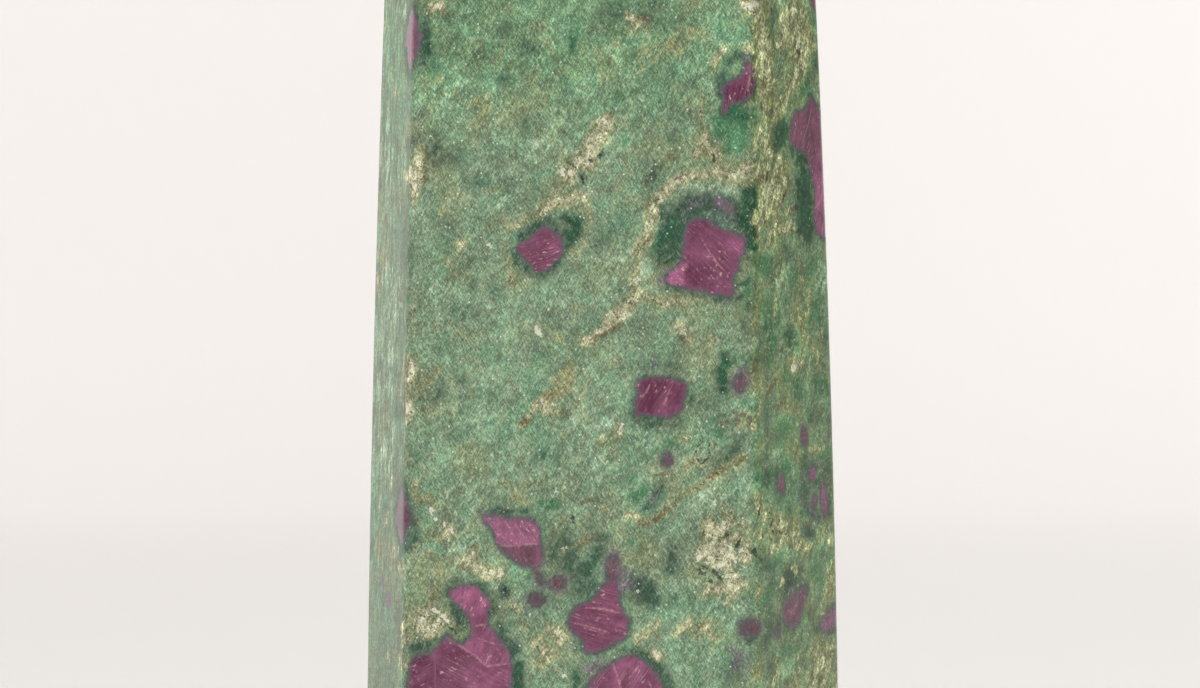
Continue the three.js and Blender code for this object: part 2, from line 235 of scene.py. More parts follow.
# Soft patches of colour in the green: face, how strong, and places with a half-width along each
patches = {
    # dark grey-green
    "dark": [
        (1, 0.8, [(-4.2, 63.4, 1.4), (-2, 64.2, 1.2), (0.6, 63.6, 1)]),
        (1, 0.7, [(2.6, 110.5, 1.4), (3, 106.8, 1.2)]), (0, 0.5, [(3.6, 134.6, 1.2), (9.6, 133.4, 1)]),
        (1, 0.6, [(4.6, 76.4, 2), (8.6, 74.8, 1.6), (10.8, 76, 1.4)]),
        (1, 0.6, [(-6.2, 76.6, 1), (-6.8, 74.4, 0.9), (-5.2, 73, 0.7)]), (1, 0.5, [(12, 83.5, 1.4)]),
        (1, 0.5, [(-9, 135.6, 1.2)]), (1, 0.5, [(-11, 94, 1.2)]),
        (0, 0.6, [(-2, 68.4, 1.6), (-3.4, 66.4, 1.4), (-1.6, 65.6, 1.4), (0.6, 63.6, 1.6),
            (2.2, 66.6, 1.4)]),
        (0, 0.6, [(7.6, 62.4, 1.8), (9, 61.6, 1.2)]), (1, 0.6, [(-9, 58, 1.6), (-11, 55.6, 1)]),
        (1, 0.6, [(-4, 62.5, 2)]),
        (0, 0.8, [(10.2, 103.4, 1.2), (11.4, 105, 1.6), (11.6, 107.4, 1.7), (12.6, 109.6, 1.4),
            (14.6, 110.4, 1.3)]),
        (0, 0.6, [(-20.4, 129, 0.5), (-19.9, 131, 0.6), (-20, 134, 0.5)]),
        (0, 0.7, [(-7.6, 106.4, 0.9), (-6, 107.6, 1), (-4.2, 108.2, 0.9), (-2.2, 107.4, 0.9),
            (-1.9, 105, 0.8)]),
        (0, 0.7, [(-8.6, 104.6, 0.7), (-7.3, 102.8, 1.1), (-5.6, 101.8, 0.8), (-4, 101.9, 0.6)]),
        (0, 0.8, [(-19.8, 132.6, 0.6), (-19.5, 130, 0.8), (-20, 128.4, 0.5)]),
        (0, 0.6, [(-17, 134.3, 0.8)]), (0, 0.7, [(-9.8, 132.5, 0.9)]),
        (0, 0.75, [(-6.8, 130.3, 0.8), (-6, 130.1, 0.6)]), (0, 0.6, [(-9.8, 126, 0.8)]),
        (0, 0.45, [(-7.5, 127.5, 0.6)]), (0, 0.5, [(-4.8, 134.8, 0.8)]),
        (0, 0.5, [(-7.5, 119.5, 1.2), (-7.2, 122, 0.8)]),
        (0, 0.55, [(-18.5, 118.5, 1), (-19, 116, 1.3), (-16.2, 116.5, 1)]), (0, 0.5, [(-13, 113, 1.2)]),
        (0, 0.5, [(-13.5, 100.5, 0.7)]), (0, 0.5, [(-10.8, 99.6, 0.8)]), (0, 0.45, [(-13.3, 96.8, 0.9)]),
        (0, 0.4, [(-16, 97.5, 0.8)]), (0, 0.4, [(-12, 103.5, 0.7)]), (0, 0.4, [(-17, 108, 1.4)]),
        (0, 0.75, [(8.9, 135.4, 0.6)]), (0, 0.5, [(9, 113.5, 1.3), (9.5, 115, 0.9)]),
        (0, 0.5, [(11.3, 119, 1.2)]), (0, 0.9, [(17.6, 126.3, 0.6), (17.5, 124, 0.5)]),
        (0, 0.8, [(18.4, 128, 0.6), (19.7, 129.2, 0.5)]),
        (0, 0.95, [(10.3, 109.5, 0.8), (11.5, 108, 1.5), (11.2, 106, 1.3), (11.8, 104.3, 1.1),
            (10.6, 102.9, 0.6)]),
        (0, 1.3, [(12.4, 109.4, 0.9), (14, 110.1, 1.1), (15.6, 110.5, 0.9), (17.2, 110.8, 0.7),
            (18.8, 110.4, 0.7), (19.9, 109.2, 0.7), (20.2, 107.8, 0.6)]),
        (0, 1.0, [(12.8, 108.3, 0.9), (12.3, 106.6, 0.9), (12.2, 104.9, 0.8), (10.8, 103.2, 0.7)]),
        (0, 0.75, [(10.6, 100, 0.4), (13, 99.5, 0.4), (16, 98.9, 0.4), (18.6, 98.3, 0.4), (19.9, 99, 0.4)]),
        (0, 0.5, [(20.5, 103, 0.5), (20.4, 101, 0.4)]), (0, 0.4, [(1, 97, 0.9)]),
        (0, 0.35, [(2.4, 106, 1.6), (5, 108, 1.4)]), (0, 0.5, [(-17.5, 87, 1.1), (-18.5, 86.2, 0.8)]),
        (0, 0.5, [(-15, 88.5, 0.9)]), (0, 0.55, [(-4.8, 79.2, 0.9)]),
        (0, 0.35, [(-12, 79.5, 0.6), (-11.8, 77, 0.5)]),
        (0, 0.8, [(-11.8, 72, 0.5), (-10, 72.1, 0.7), (-8, 71.9, 0.5), (-6.5, 72, 0.3)]),
        (0, 0.7, [(-21, 70, 0.6), (-20.8, 68.5, 0.6)]), (0, 0.75, [(-9.5, 62.5, 0.7), (-9.2, 61.8, 0.6)]),
        (0, 0.7, [(-16.8, 62.8, 0.3), (-15.5, 63.3, 0.3), (-14, 63.5, 0.3), (-12.3, 63, 0.4),
            (-11.1, 61.4, 0.5), (-10.8, 59.5, 0.6)]),
        (0, 0.85, [(-16.1, 60.3, 0.6), (-15.3, 58.8, 0.7), (-14.7, 57.3, 0.6)]),
        (0, 0.8, [(-10.2, 57.8, 0.6), (-9.3, 56.6, 0.6)]),
        (0, 0.9, [(-8.4, 55.3, 0.6), (-8, 53.5, 0.6), (-7.7, 51.5, 0.9), (-7.9, 48, 0.9), (-8.5, 45, 0.8)]),
        (0, 0.85, [(-21.3, 54.8, 0.7), (-20, 55.1, 0.8), (-18.8, 55.4, 0.6), (-18, 56.5, 0.4)]),
        (0, 0.6, [(8, 89.9, 0.8), (9.5, 90.5, 0.7), (12.5, 89.9, 0.8)]),
        (0, 0.75, [(6.3, 84.4, 0.6), (7.5, 83.3, 0.5), (9, 82.9, 0.5), (11, 83.1, 0.5), (12.6, 83.2, 0.4)]),
        (0, 0.6, [(13.8, 87, 0.5), (13.8, 85, 0.4)]), (0, 0.45, [(5.5, 90, 0.8)]),
        (0, 0.5, [(20.5, 81, 0.7), (18.5, 79, 0.9), (16.8, 78, 0.8)]),
        (0, 0.6, [(10.5, 75.5, 0.5), (8.6, 72.6, 0.7)]), (0, 0.7, [(2.4, 67, 1.2), (3, 68.3, 1)]),
        (0, 0.75, [(0.8, 64.8, 1.3), (1.3, 62.8, 1.2), (-0.6, 61.6, 0.6)]),
        (0, 0.6, [(-3.8, 69, 0.6), (-3.4, 66.5, 0.8), (-2.2, 65.6, 0.9), (-0.8, 66.8, 0.8)]),
        (0, 0.9, [(8.8, 62.4, 1.0), (7.2, 61.4, 0.9), (9.2, 61, 0.8)]),
        (0, 0.6, [(11.5, 65, 1), (11.8, 67.5, 0.9)]),
        (0, 0.85, [(5, 54.4, 0.3), (7, 54.7, 0.4), (8.5, 54.1, 0.7), (9.3, 53, 0.8), (10.4, 51.8, 0.6),
            (11.4, 50, 0.6), (11.8, 47, 0.6)]),
        (0, 0.5, [(0, 57, 0.4), (-0.3, 55, 0.5)]),
        (0, 0.75, [(21.3, 59, 0.5), (20.7, 57.5, 0.5), (21.4, 55.9, 0.5)]),
        (0, 0.45, [(20, 54, 1.2), (19.3, 52, 1)]), (0, 0.4, [(-5.2, 66, 0.4), (-4, 61.6, 0.8)]),
        (1, 0.9, [(5.2, 113, 2.2), (5, 109.5, 2.8), (6.5, 107.8, 1.8)]),
        (1, 0.9, [(4.8, 117, 1.6), (8, 116.5, 0.6)]), (1, 0.8, [(1.2, 118.2, 1.2)]),
        (1, 0.5, [(5, 83.5, 1.3), (8.5, 84, 1.2)]), (1, 0.5, [(-5.5, 133.8, 1.2), (-4, 135, 0.9)]),
        (1, 0.6, [(3.5, 78.4, 1.2), (1.8, 76.5, 1), (3, 74, 1.2)]),
        (1, 0.6, [(-2.3, 104.6, 1.2), (0.5, 104.2, 1)]), (1, 0.45, [(-5.5, 126.5, 1.3)]),
        (1, 0.8, [(-3.5, 62.6, 1.2), (-1, 63, 1.2), (1, 64, 0.8)]),
        (1, 0.9, [(2.5, 68.7, 0.6), (4, 69, 0.8), (5.4, 68.8, 0.5)]), (1, 0.6, [(-9, 52.8, 1.3)]),
        (1, 0.7, [(-9.5, 57.5, 1), (-7, 56.7, 1), (-5.8, 58.5, 0.8)]),
        (1, 0.5, [(4, 58.5, 1.2), (4.5, 56.5, 0.9)]), (1, 0.6, [(11, 93.5, 1.6)]),
        (1, 0.5, [(-10, 84.5, 1.4), (-9.5, 82, 1)]), (1, 0.5, [(-12, 66, 1.4), (-8, 63.5, 1.2)]),
        (1, 0.6, [(12, 76.5, 0.9), (11.5, 71, 0.7)]), (1, 0.5, [(12, 81.3, 0.9)]),
        (5, 0.22, [(0, 58, 5), (0, 52, 5)]), (5, 0.8, [(12, 75.2, 0.6)]), (5, 0.7, [(12.6, 67.6, 0.8)]),
        (5, 0.5, [(12.5, 118.5, 1.4)]), (5, 0.4, [(9, 107.5, 1.2), (10.5, 104, 1.4)]),
        (5, 0.45, [(8.8, 124.5, 0.6)]), (5, 0.45, [(-5, 99.5, 0.8)]), (5, 0.5, [(-0.5, 72.3, 0.8)]),
        (5, 0.4, [(8.5, 58.5, 1.6)]),
    ],
    # deep clear green
    "deep": [
        (0, 0.55, [(11, 108.6, 1), (11.4, 105.5, 1.2), (10.8, 103.2, 0.7)]),
        (0, 0.45, [(12.6, 109.7, 0.8), (15.4, 110.6, 0.8)]), (0, 1.0, [(20, 110, 0.6), (20.4, 108, 0.7)]),
        (0, 0.6, [(18.2, 122.2, 1), (20.4, 121.4, 1.2)]), (0, 0.6, [(8.4, 62.2, 0.9)]),
        (0, 0.5, [(1, 64.4, 0.8), (2.6, 67.4, 0.7)]), (0, 0.6, [(-8, 52, 0.6), (-8, 49, 0.7)]),
        (1, 0.6, [(-7.5, 95.5, 1.6)]), (1, 0.6, [(-13.5, 98, 0.8)]), (1, 0.5, [(10, 96, 1.4)]),
        (1, 0.6, [(1, 86.6, 1.4)]), (1, 0.6, [(-12.6, 78, 1), (-9.8, 78.8, 0.8)]),
        (1, 0.9, [(5, 114.6, 1.8), (5.4, 110.6, 2.2), (5.6, 107.6, 1.4)]),
        (1, 0.8, [(3.6, 117, 1), (7.6, 116.4, 0.8)]), (0, 0.6, [(-8.6, 103.2, 0.5), (-7.4, 102.2, 0.5)]),
        (0, 0.6, [(11.8, 107.6, 0.9), (11.6, 104.6, 0.7)]),
        (0, 0.8, [(-19.9, 131.2, 0.4), (-19.6, 129.9, 0.5)]),
        (0, 0.55, [(-1.6, 131.3, 0.7), (-1.1, 129.7, 0.6)]), (0, 0.5, [(6.3, 128.8, 0.9)]),
        (0, 0.6, [(4.4, 124.2, 0.9)]),
        (0, 0.9, [(-1.5, 108.6, 0.9), (-0.6, 108.3, 0.9), (-0.5, 107, 0.9), (-1.4, 106, 0.6)]),
        (0, 0.7, [(-5.4, 108.3, 0.6)]), (0, 1.5, [(21.1, 112, 0.8), (21.2, 109, 1.3), (21.6, 105.6, 0.8)]),
        (0, 0.7, [(20.2, 100.6, 0.4)]), (0, 0.7, [(21.4, 129, 0.4), (21.9, 127, 0.3)]),
        (0, 0.6, [(19.6, 122.4, 0.5), (20.6, 122.6, 0.5)]), (0, 0.5, [(10.3, 105.2, 0.9), (10, 107, 0.8)]),
        (0, 0.9, [(18, 87.4, 0.9), (17.8, 89.4, 0.9), (18.2, 91.2, 0.7)]), (0, 0.6, [(18.4, 86.3, 0.6)]),
        (0, 0.5, [(-12.6, 69.8, 0.4), (-11.6, 68.2, 0.4)]), (0, 0.55, [(-7.6, 53, 0.5), (-7.2, 50, 0.5)]),
        (0, 0.6, [(-0.3, 52, 0.7), (-0.5, 50, 0.6)]), (0, 0.4, [(21.6, 61.5, 0.6)]),
        (0, 0.5, [(-3.5, 67.6, 0.6), (-2.4, 64.9, 0.4)]), (0, 0.4, [(-21, 79, 0.8)]),
        (0, 0.4, [(15.8, 87, 0.4)]), (1, 1.0, [(-5.4, 118, 1.2), (-3, 119.8, 1.6), (-0.8, 120.4, 1.2)]),
        (1, 0.7, [(1.4, 118, 0.9)]), (1, 0.8, [(6, 107.8, 1.2), (3.2, 107.6, 0.9)]),
        (1, 0.8, [(2.9, 113.5, 0.8), (2.6, 111, 0.8)]),
        (1, 0.9, [(-13.6, 110, 0.6), (-13.2, 107.5, 0.9), (-13.8, 105.6, 0.6)]),
        (1, 0.6, [(4, 136.8, 0.9)]), (1, 0.8, [(-1.6, 94, 1.2)]), (1, 0.6, [(-10, 76.4, 1.5)]),
        (1, 0.6, [(-13.6, 120.5, 0.6)]), (1, 0.6, [(6.3, 56, 0.8)]), (1, 0.6, [(-2.5, 72, 1)]),
        (1, 0.5, [(11.6, 129, 0.9)]), (1, 0.5, [(0.5, 124, 0.9), (2.5, 124.6, 0.8)]),
        (1, 0.5, [(-13.5, 91, 1.2), (-10, 90.5, 1)]), (1, 0.5, [(-2.5, 98, 1.2)]),
        (5, 0.5, [(5.5, 84.5, 0.8)]), (5, 0.5, [(10.8, 54, 0.9)]),
    ],
    # clear bright green
    "emerald": [
        (0, 0.5, [(-12.5, 129.5, 1.2)]), (0, 0.5, [(-2.5, 126.5, 1.4)]), (0, 0.5, [(1.5, 122.8, 1.2)]),
        (0, 0.4, [(-14.5, 109.8, 1.2)]), (0, 0.4, [(4.2, 89, 1.6)]), (0, 0.4, [(-9, 90.5, 1.6)]),
        (0, 0.7, [(-19.3, 128, 1.3)]), (0, 0.6, [(-16.5, 131, 0.8)]),
        (0, 0.6, [(-1.2, 131.2, 1.2), (-0.4, 133.5, 0.8)]), (0, 0.45, [(-3.5, 128.5, 1.6)]),
        (0, 0.5, [(-18, 111.8, 0.9), (-17, 113, 0.8)]), (0, 0.4, [(-17.5, 105.5, 1)]),
        (0, 0.6, [(7.2, 126, 0.7)]), (0, 0.5, [(10.5, 133, 1)]), (0, 0.5, [(4.5, 134, 1)]),
        (0, 0.5, [(5.2, 118.4, 1.1)]), (0, 0.45, [(11.3, 123.5, 0.9)]), (0, 0.6, [(18, 134, 0.7)]),
        (0, 0.6, [(20.3, 133.3, 0.8)]), (0, 1.0, [(17.3, 121, 1.3), (19.2, 121, 1.6), (20.8, 121.5, 1.2)]),
        (0, 1.0, [(17.4, 119.2, 1.3), (19.6, 119.3, 1.7), (18.6, 117.6, 1.3), (20.4, 117.8, 1)]),
        (0, 0.45, [(2, 110.5, 1), (2.6, 113, 1.2)]), (0, 0.6, [(9.6, 105, 0.9), (9.3, 103, 1)]),
        (0, 0.7, [(21, 101, 0.9), (20.8, 98, 1), (20.6, 95, 0.9)]), (0, 0.45, [(8, 95.5, 2)]),
        (0, 0.5, [(-19, 81.5, 1)]), (0, 0.5, [(-20.8, 79, 1.2)]),
        (0, 0.9, [(-4.5, 72.8, 0.9), (-3.4, 73.2, 0.7), (-2.5, 72.8, 0.6)]), (0, 0.7, [(-3.8, 70.5, 0.8)]),
        (0, 0.5, [(-15.5, 73, 1.5)]), (0, 0.6, [(19.5, 91, 1)]), (0, 0.6, [(20.5, 86, 0.8)]),
        (0, 0.9, [(17.6, 81.8, 0.8)]), (0, 0.8, [(16.9, 83.5, 0.7), (18, 84, 0.6)]),
        (0, 0.7, [(11.5, 80.5, 0.9), (10.4, 79.6, 0.7)]),
        (0, 0.8, [(8, 74.6, 0.9), (6.8, 74, 0.8), (7.8, 73, 0.7)]), (0, 0.8, [(10.8, 74.1, 0.5)]),
        (0, 0.6, [(6.2, 76.2, 1.1), (4, 75.6, 0.9)]), (0, 0.6, [(7.5, 67.5, 0.9), (6.4, 68.8, 0.8)]),
        (0, 0.6, [(-4.2, 59.3, 0.9)]), (0, 0.7, [(-0.9, 52.5, 0.9), (-0.4, 51, 0.9)]),
        (0, 0.5, [(-6.8, 53.5, 0.7)]), (0, 0.6, [(21, 72, 1)]), (0, 0.6, [(21.4, 62, 0.9)]),
        (0, 0.4, [(14, 60.5, 1.3)]), (0, 0.4, [(-12, 92, 2)]), (0, 0.35, [(-8, 97, 2)]),
        (0, 0.35, [(4, 90, 2)]), (0, 0.4, [(17.5, 96, 1.5)]), (0, 0.35, [(-10, 117, 2)]),
        (0, 0.5, [(2.6, 53.8, 0.5), (4.8, 54.8, 0.5)]), (1, 0.8, [(-8, 133, 2), (-5, 131.8, 1.4)]),
        (1, 0.6, [(-2, 133.8, 1.6)]), (1, 0.7, [(-6, 117.2, 1.2), (-4, 121, 1.2)]),
        (1, 0.8, [(5, 125.6, 1.4), (8, 126.8, 1.5)]), (1, 0.8, [(11.2, 129.5, 1.4), (11, 132, 0.9)]),
        (1, 0.7, [(-13, 119.5, 1.5)]), (1, 0.8, [(-12.8, 103.5, 1.3), (-8, 102.5, 1.8)]),
        (1, 0.6, [(0, 101.5, 2), (5, 102, 2), (9, 104, 1.4)]), (1, 0.7, [(-6, 97, 2.2), (-10, 98, 1.8)]),
        (1, 0.8, [(6, 97, 1.8), (9, 98.5, 1.4)]), (1, 0.9, [(-6, 93.4, 1.1), (-9, 91.5, 1.6)]),
        (1, 0.8, [(1.2, 93, 1)]), (1, 0.8, [(8, 87.6, 2), (11.5, 87, 1.6)]),
        (1, 0.6, [(2, 88, 1.8), (-3, 89, 1.6)]), (1, 0.6, [(-6, 81.5, 2), (-2, 82.5, 1.6)]),
        (1, 0.8, [(-10.5, 76.2, 1.8), (-7.6, 76.8, 1.2)]), (1, 0.7, [(-3, 77.5, 1.6)]),
        (1, 0.7, [(9, 79, 1.5), (12, 79, 1)]), (1, 0.6, [(-8.5, 65.5, 2), (-5, 66.3, 1)]),
        (1, 0.7, [(6, 64, 2), (8.5, 62, 1.4)]), (1, 0.7, [(-11, 60.5, 1.6), (-9, 62, 1.4)]),
        (1, 0.6, [(-4, 54, 2), (0, 54.6, 1.4)]), (1, 0.6, [(11.5, 65, 1.4)]),
        (1, 0.7, [(8.5, 135.5, 0.8), (12, 134.5, 0.8)]), (5, 0.6, [(9, 84.5, 1.4)]),
        (5, 0.6, [(11, 99, 1.2)]), (5, 0.4, [(3, 123, 2.2)]), (5, 0.4, [(8, 93, 2)]),
    ],
    # blue-grey near the crystals
    "teal": [
        (0, 0.9, [(16, 111.4, 0.7), (15.4, 110.7, 0.5)]),
        (0, 0.9, [(17, 109.5, 1.0), (18, 108.6, 1.1), (19.3, 108.2, 0.8)]), (0, 0.8, [(20.7, 105.9, 0.5)]),
        (0, 0.6, [(-12.6, 71.9, 0.4)]), (0, 0.9, [(6.2, 63.4, 0.9), (7.5, 63.2, 1)]),
        (0, 0.7, [(8.4, 62.2, 1.2)]), (0, 0.7, [(-19.6, 55, 0.9)]), (0, 0.6, [(-5.5, 61, 1)]),
        (0, 0.7, [(-20, 132, 0.5)]), (0, 0.6, [(-4.4, 108.9, 0.7)]), (0, 0.6, [(20.4, 89.9, 0.7)]),
        (1, 0.9, [(3.2, 72.2, 0.9), (6, 71.2, 0.9), (7.6, 70.6, 0.6)]), (1, 0.8, [(-13.3, 128.7, 0.7)]),
        (1, 0.6, [(4, 69, 0.8)]), (1, 0.6, [(1.5, 73.5, 1.2), (4.5, 74.2, 1)]),
        (1, 0.6, [(10, 58.9, 0.5), (13, 59.2, 0.5)]), (1, 0.6, [(-6.8, 56.9, 0.9)]),
        (5, 0.6, [(11.5, 74.2, 0.6)]), (1, 0.6, [(-3, 62.2, 1.3)]),
    ],
    # grey-purple, where a crystal lies just under the surface
    "margin": [
        (0, 0.9, [(17, 111.2, 0.5), (18.8, 109.8, 0.5)]), (0, 0.45, [(13, 110, 0.8), (15.4, 111, 0.8)]),
        (0, 0.8, [(20.7, 128.6, 0.4)]), (0, 0.7, [(17.5, 124.8, 0.3)]),
        (0, 0.8, [(10, 100.8, 0.5), (10.6, 102.4, 0.3)]),
        (0, 0.85, [(5.8, 64.5, 0.6), (5, 64.2, 0.7), (5.4, 62.7, 0.4)]), (0, 0.7, [(6, 63, 0.7)]),
        (0, 0.7, [(4.3, 67, 0.7)]), (0, 0.85, [(1.4, 52, 0.8), (2.5, 53, 0.6), (3.3, 53.2, 0.4)]),
        (0, 0.6, [(-3.2, 104.3, 0.4), (-2.5, 105, 0.4)]), (0, 0.7, [(-12.4, 71.8, 0.4)]),
        (0, 0.55, [(19.8, 54.6, 0.6), (20.2, 53, 0.8), (19.5, 52.2, 0.5)]),
        (0, 0.5, [(21.2, 53.3, 0.5), (20, 51.3, 0.5)]), (0, 0.6, [(20.2, 89.7, 0.5)]),
        (0, 0.5, [(9.4, 73.6, 0.5)]), (0, 0.5, [(9.5, 90.6, 0.5)]), (0, 0.6, [(-21.5, 54.6, 0.4)]),
        (1, 0.7, [(1.3, 119.5, 1.2), (2.5, 121.6, 0.8)]), (1, 0.7, [(6.3, 73, 1)]),
        (1, 0.7, [(11.6, 81.5, 0.7)]), (1, 0.6, [(2, 76.3, 0.8)]), (1, 0.6, [(1.7, 72.8, 0.6)]),
        (1, 0.7, [(-5, 59, 0.6), (-2, 61.6, 0.6)]), (1, 0.6, [(4.5, 137.2, 0.6)]),
        (5, 0.6, [(-11.2, 129.5, 1), (-11, 126.5, 0.8)]), (5, 0.5, [(-11.5, 114, 0.8)]),
        (5, 0.6, [(-2.5, 62.3, 1.1)]), (5, 0.6, [(5.5, 131.5, 0.8)]),
    ],
    # pale green
    "mint": [
        (0, 0.7, [(13, 112.9, 0.5), (15, 112.8, 0.8), (17, 112.6, 0.8), (18.5, 112.2, 0.7)]),
        (0, 0.9, [(8.5, 102.2, 0.8), (8.6, 103.4, 0.5)]),
        (0, 0.6, [(16.2, 123.5, 0.6), (16.3, 125.3, 0.4)]), (0, 0.6, [(19, 116.4, 0.9)]),
        (0, 0.6, [(-2.4, 103.3, 0.4), (-1, 104.3, 0.4), (0.3, 105.4, 0.4)]),
        (0, 0.5, [(-3, 109.9, 0.5), (-1, 110.1, 0.5)]), (0, 0.5, [(-13, 68.4, 1.2), (-14.8, 67, 1)]),
        (0, 0.45, [(-5.4, 117.5, 2)]), (0, 0.5, [(12.9, 81.7, 0.8), (14.2, 83.4, 0.7)]),
        (0, 0.6, [(14, 78.5, 1), (15.6, 79, 0.8)]),
        (0, 0.5, [(8.2, 68.6, 0.5), (9.5, 65.5, 0.5), (10.2, 62.6, 0.4)]),
        (0, 0.5, [(-7.8, 60.8, 0.8), (-7.2, 58.4, 0.9)]), (0, 0.5, [(19.6, 61, 1.5), (17, 60, 1.2)]),
        (0, 0.6, [(1.2, 71.7, 0.5), (2.6, 72.2, 0.5), (4, 72, 0.5)]), (0, 0.45, [(4, 104, 1.6)]),
        (0, 0.4, [(3.5, 83, 1.6)]), (0, 0.4, [(-9, 112, 2.2)]), (0, 0.4, [(-18, 100, 1.4)]),
        (0, 0.4, [(-15, 125, 2)]), (0, 0.45, [(16.5, 74.5, 1.6)]), (0, 0.4, [(2.6, 79, 1.8)]),
        (1, 0.8, [(-2, 136, 1.2), (0.5, 135, 1)]), (1, 0.8, [(8.5, 123.8, 0.8), (11, 125, 1.2)]),
        (1, 0.6, [(-9.5, 118, 2), (-11.5, 120.5, 1)]), (1, 0.6, [(-5, 100.5, 2), (-1, 103, 1.6)]),
        (1, 0.6, [(10, 101, 2)]), (1, 0.7, [(0.8, 92, 0.9)]), (1, 0.7, [(9.6, 86, 1.5)]),
        (1, 0.7, [(-6.5, 79, 1.6)]), (1, 0.7, [(-3.5, 66.3, 1.2), (-1, 65.6, 1)]),
        (1, 0.6, [(10.5, 68, 1.2)]), (1, 0.6, [(-4, 52, 2), (1, 52.5, 1.2)]), (1, 0.6, [(12.5, 84.5, 1)]),
        (1, 0.6, [(7.8, 94.6, 1)]), (5, 0.5, [(0, 90, 3)]), (5, 0.5, [(2, 100, 3)]),
        (5, 0.5, [(-5, 118, 3)]), (5, 0.4, [(-2, 80, 3)]), (5, 0.4, [(4, 136, 2)]),
    ],
    # olive and khaki
    "olive": [
        (0, 0.5, [(8, 128.5, 2.2), (12, 130.5, 1.6)]),
        (1, 0.8, [(-9, 135, 3.2), (-8, 127, 3.4), (-5, 120, 2.2)]),
        (1, 0.75, [(2, 131, 2.6), (6, 135, 1.8)]), (1, 0.8, [(-9, 113, 2.6), (-5, 108, 2)]),
        (1, 0.6, [(0, 70, 2.4), (-8, 70, 2)]), (1, 0.6, [(-6, 101.6, 0.8), (-3.6, 105, 0.7)]),
        (1, 0.6, [(0.6, 97.6, 0.9), (2.6, 101, 0.8)]), (1, 0.6, [(6.6, 88.6, 0.8), (8.8, 92.6, 0.8)]),
        (1, 0.6, [(-12.4, 88, 0.9), (-10, 92, 0.8)]), (1, 0.5, [(-6, 60.6, 0.8)]),
        (1, 0.6, [(-13, 52, 1), (-11, 55, 0.8)]), (1, 0.8, [(-4, 46.6, 1.2), (-2, 50, 1.1)]),
        (1, 0.8, [(5.6, 47, 1.2), (8.4, 51.6, 1.2)]), (1, 0.7, [(10.6, 60.5, 0.9), (12.6, 65, 0.9)]),
        (1, 0.7, [(-13.4, 123, 1), (-11.4, 127, 1)]), (1, 0.8, [(5.4, 130.6, 1.6), (9, 135, 1.2)]),
        (1, 0.6, [(-11.6, 62.6, 1)]),
        (0, 0.8, [(7.6, 70.6, 0.5), (9.8, 71.2, 0.6), (13.4, 74.2, 0.3), (17.6, 77.2, 0.6),
            (20.6, 78.8, 0.4)]),
        (1, 0.6, [(-12, 80.4, 0.8), (-8, 81.6, 0.8)]), (1, 0.7, [(-2.6, 57, 1), (-1, 54, 0.8)]),
        (1, 0.6, [(9.5, 108.5, 0.6)]), (1, 0.6, [(-13, 95, 0.9), (-11.4, 99, 0.8)]),
        (0, 0.5, [(-13, 123.5, 1.6), (-12.5, 120.5, 1.2)]), (0, 0.5, [(-18.3, 126, 0.8)]),
        (0, 0.8, [(-19, 115.6, 1), (-20, 117.6, 0.6)]), (0, 0.4, [(-17.5, 104.3, 1.1), (-16, 102, 1.2)]),
        (0, 0.4, [(-15, 106.5, 0.9)]), (0, 0.5, [(12.5, 132, 1.2), (14.2, 133, 1)]),
        (0, 0.5, [(4.6, 131, 0.7)]), (0, 0.5, [(8.4, 113, 1), (10.8, 116.4, 1)]),
        (0, 0.6, [(15.2, 121.6, 0.6)]), (0, 0.5, [(22, 103, 0.6), (21.8, 96, 0.8)]),
        (0, 0.5, [(-3, 93.8, 0.6), (-1, 94.3, 0.6)]),
        (0, 0.7, [(-20.2, 87.5, 0.8), (-19, 88.6, 0.9), (-18, 89.5, 0.8)]),
        (0, 0.75, [(-1.4, 90.2, 1.1), (-2, 88, 1.2), (-3.2, 86.6, 1.1), (-4.6, 86, 0.9)]),
        (0, 0.7, [(-20.3, 73.2, 0.8), (-19, 73.6, 0.8)]), (0, 0.6, [(-20.6, 71, 0.6)]),
        (0, 0.6, [(-8.2, 73.6, 0.9), (-6.6, 73.2, 0.6)]), (0, 0.5, [(-2.2, 71, 0.6)]),
        (0, 0.6, [(20.2, 83.2, 1), (18.6, 83, 0.7)]), (0, 0.6, [(0.5, 68, 0.6), (1.8, 69.2, 0.5)]),
        (0, 0.5, [(13.5, 57, 1.4), (16.5, 58, 1.4), (17, 56, 0.9)]),
        (0, 0.5, [(-4.6, 53, 1.4), (-2.6, 54.8, 1)]), (0, 0.5, [(-18.6, 61, 0.9), (-17.6, 64, 0.9)]),
        (0, 0.5, [(7.2, 57.2, 0.8)]), (0, 0.5, [(16.8, 78.2, 0.8), (20, 79, 0.7)]),
        (0, 0.4, [(-15.5, 69.5, 1.4)]), (1, 0.8, [(-6, 131, 0.8), (-2, 131.6, 1.2), (1, 133.6, 1.4)]),
        (1, 0.8, [(-6.5, 128, 1.6), (-6.8, 124, 1.2)]), (1, 0.9, [(-9.6, 127.5, 1)]),
        (1, 1.0, [(-6.4, 113, 1.6), (-3, 114.2, 1.5), (-1, 116, 0.9)]),
        (1, 0.7, [(4, 129, 1.4), (8, 131, 1.4)]), (1, 0.7, [(-11.4, 113.6, 1.4)]),
        (1, 0.6, [(-4, 110, 1.6)]), (1, 0.7, [(2.5, 96.6, 0.9), (3.4, 94, 0.7)]), (1, 0.6, [(3, 99, 1)]),
        (1, 0.7, [(7, 92.2, 1.2)]), (1, 0.7, [(-9, 87.6, 1.1), (-5, 88.4, 0.9), (-1, 91, 0.9)]),
        (1, 0.7, [(-3, 85.6, 1.6), (1, 84.6, 1.2)]), (1, 0.7, [(0, 79.4, 1.6), (-2.5, 80.4, 1)]),
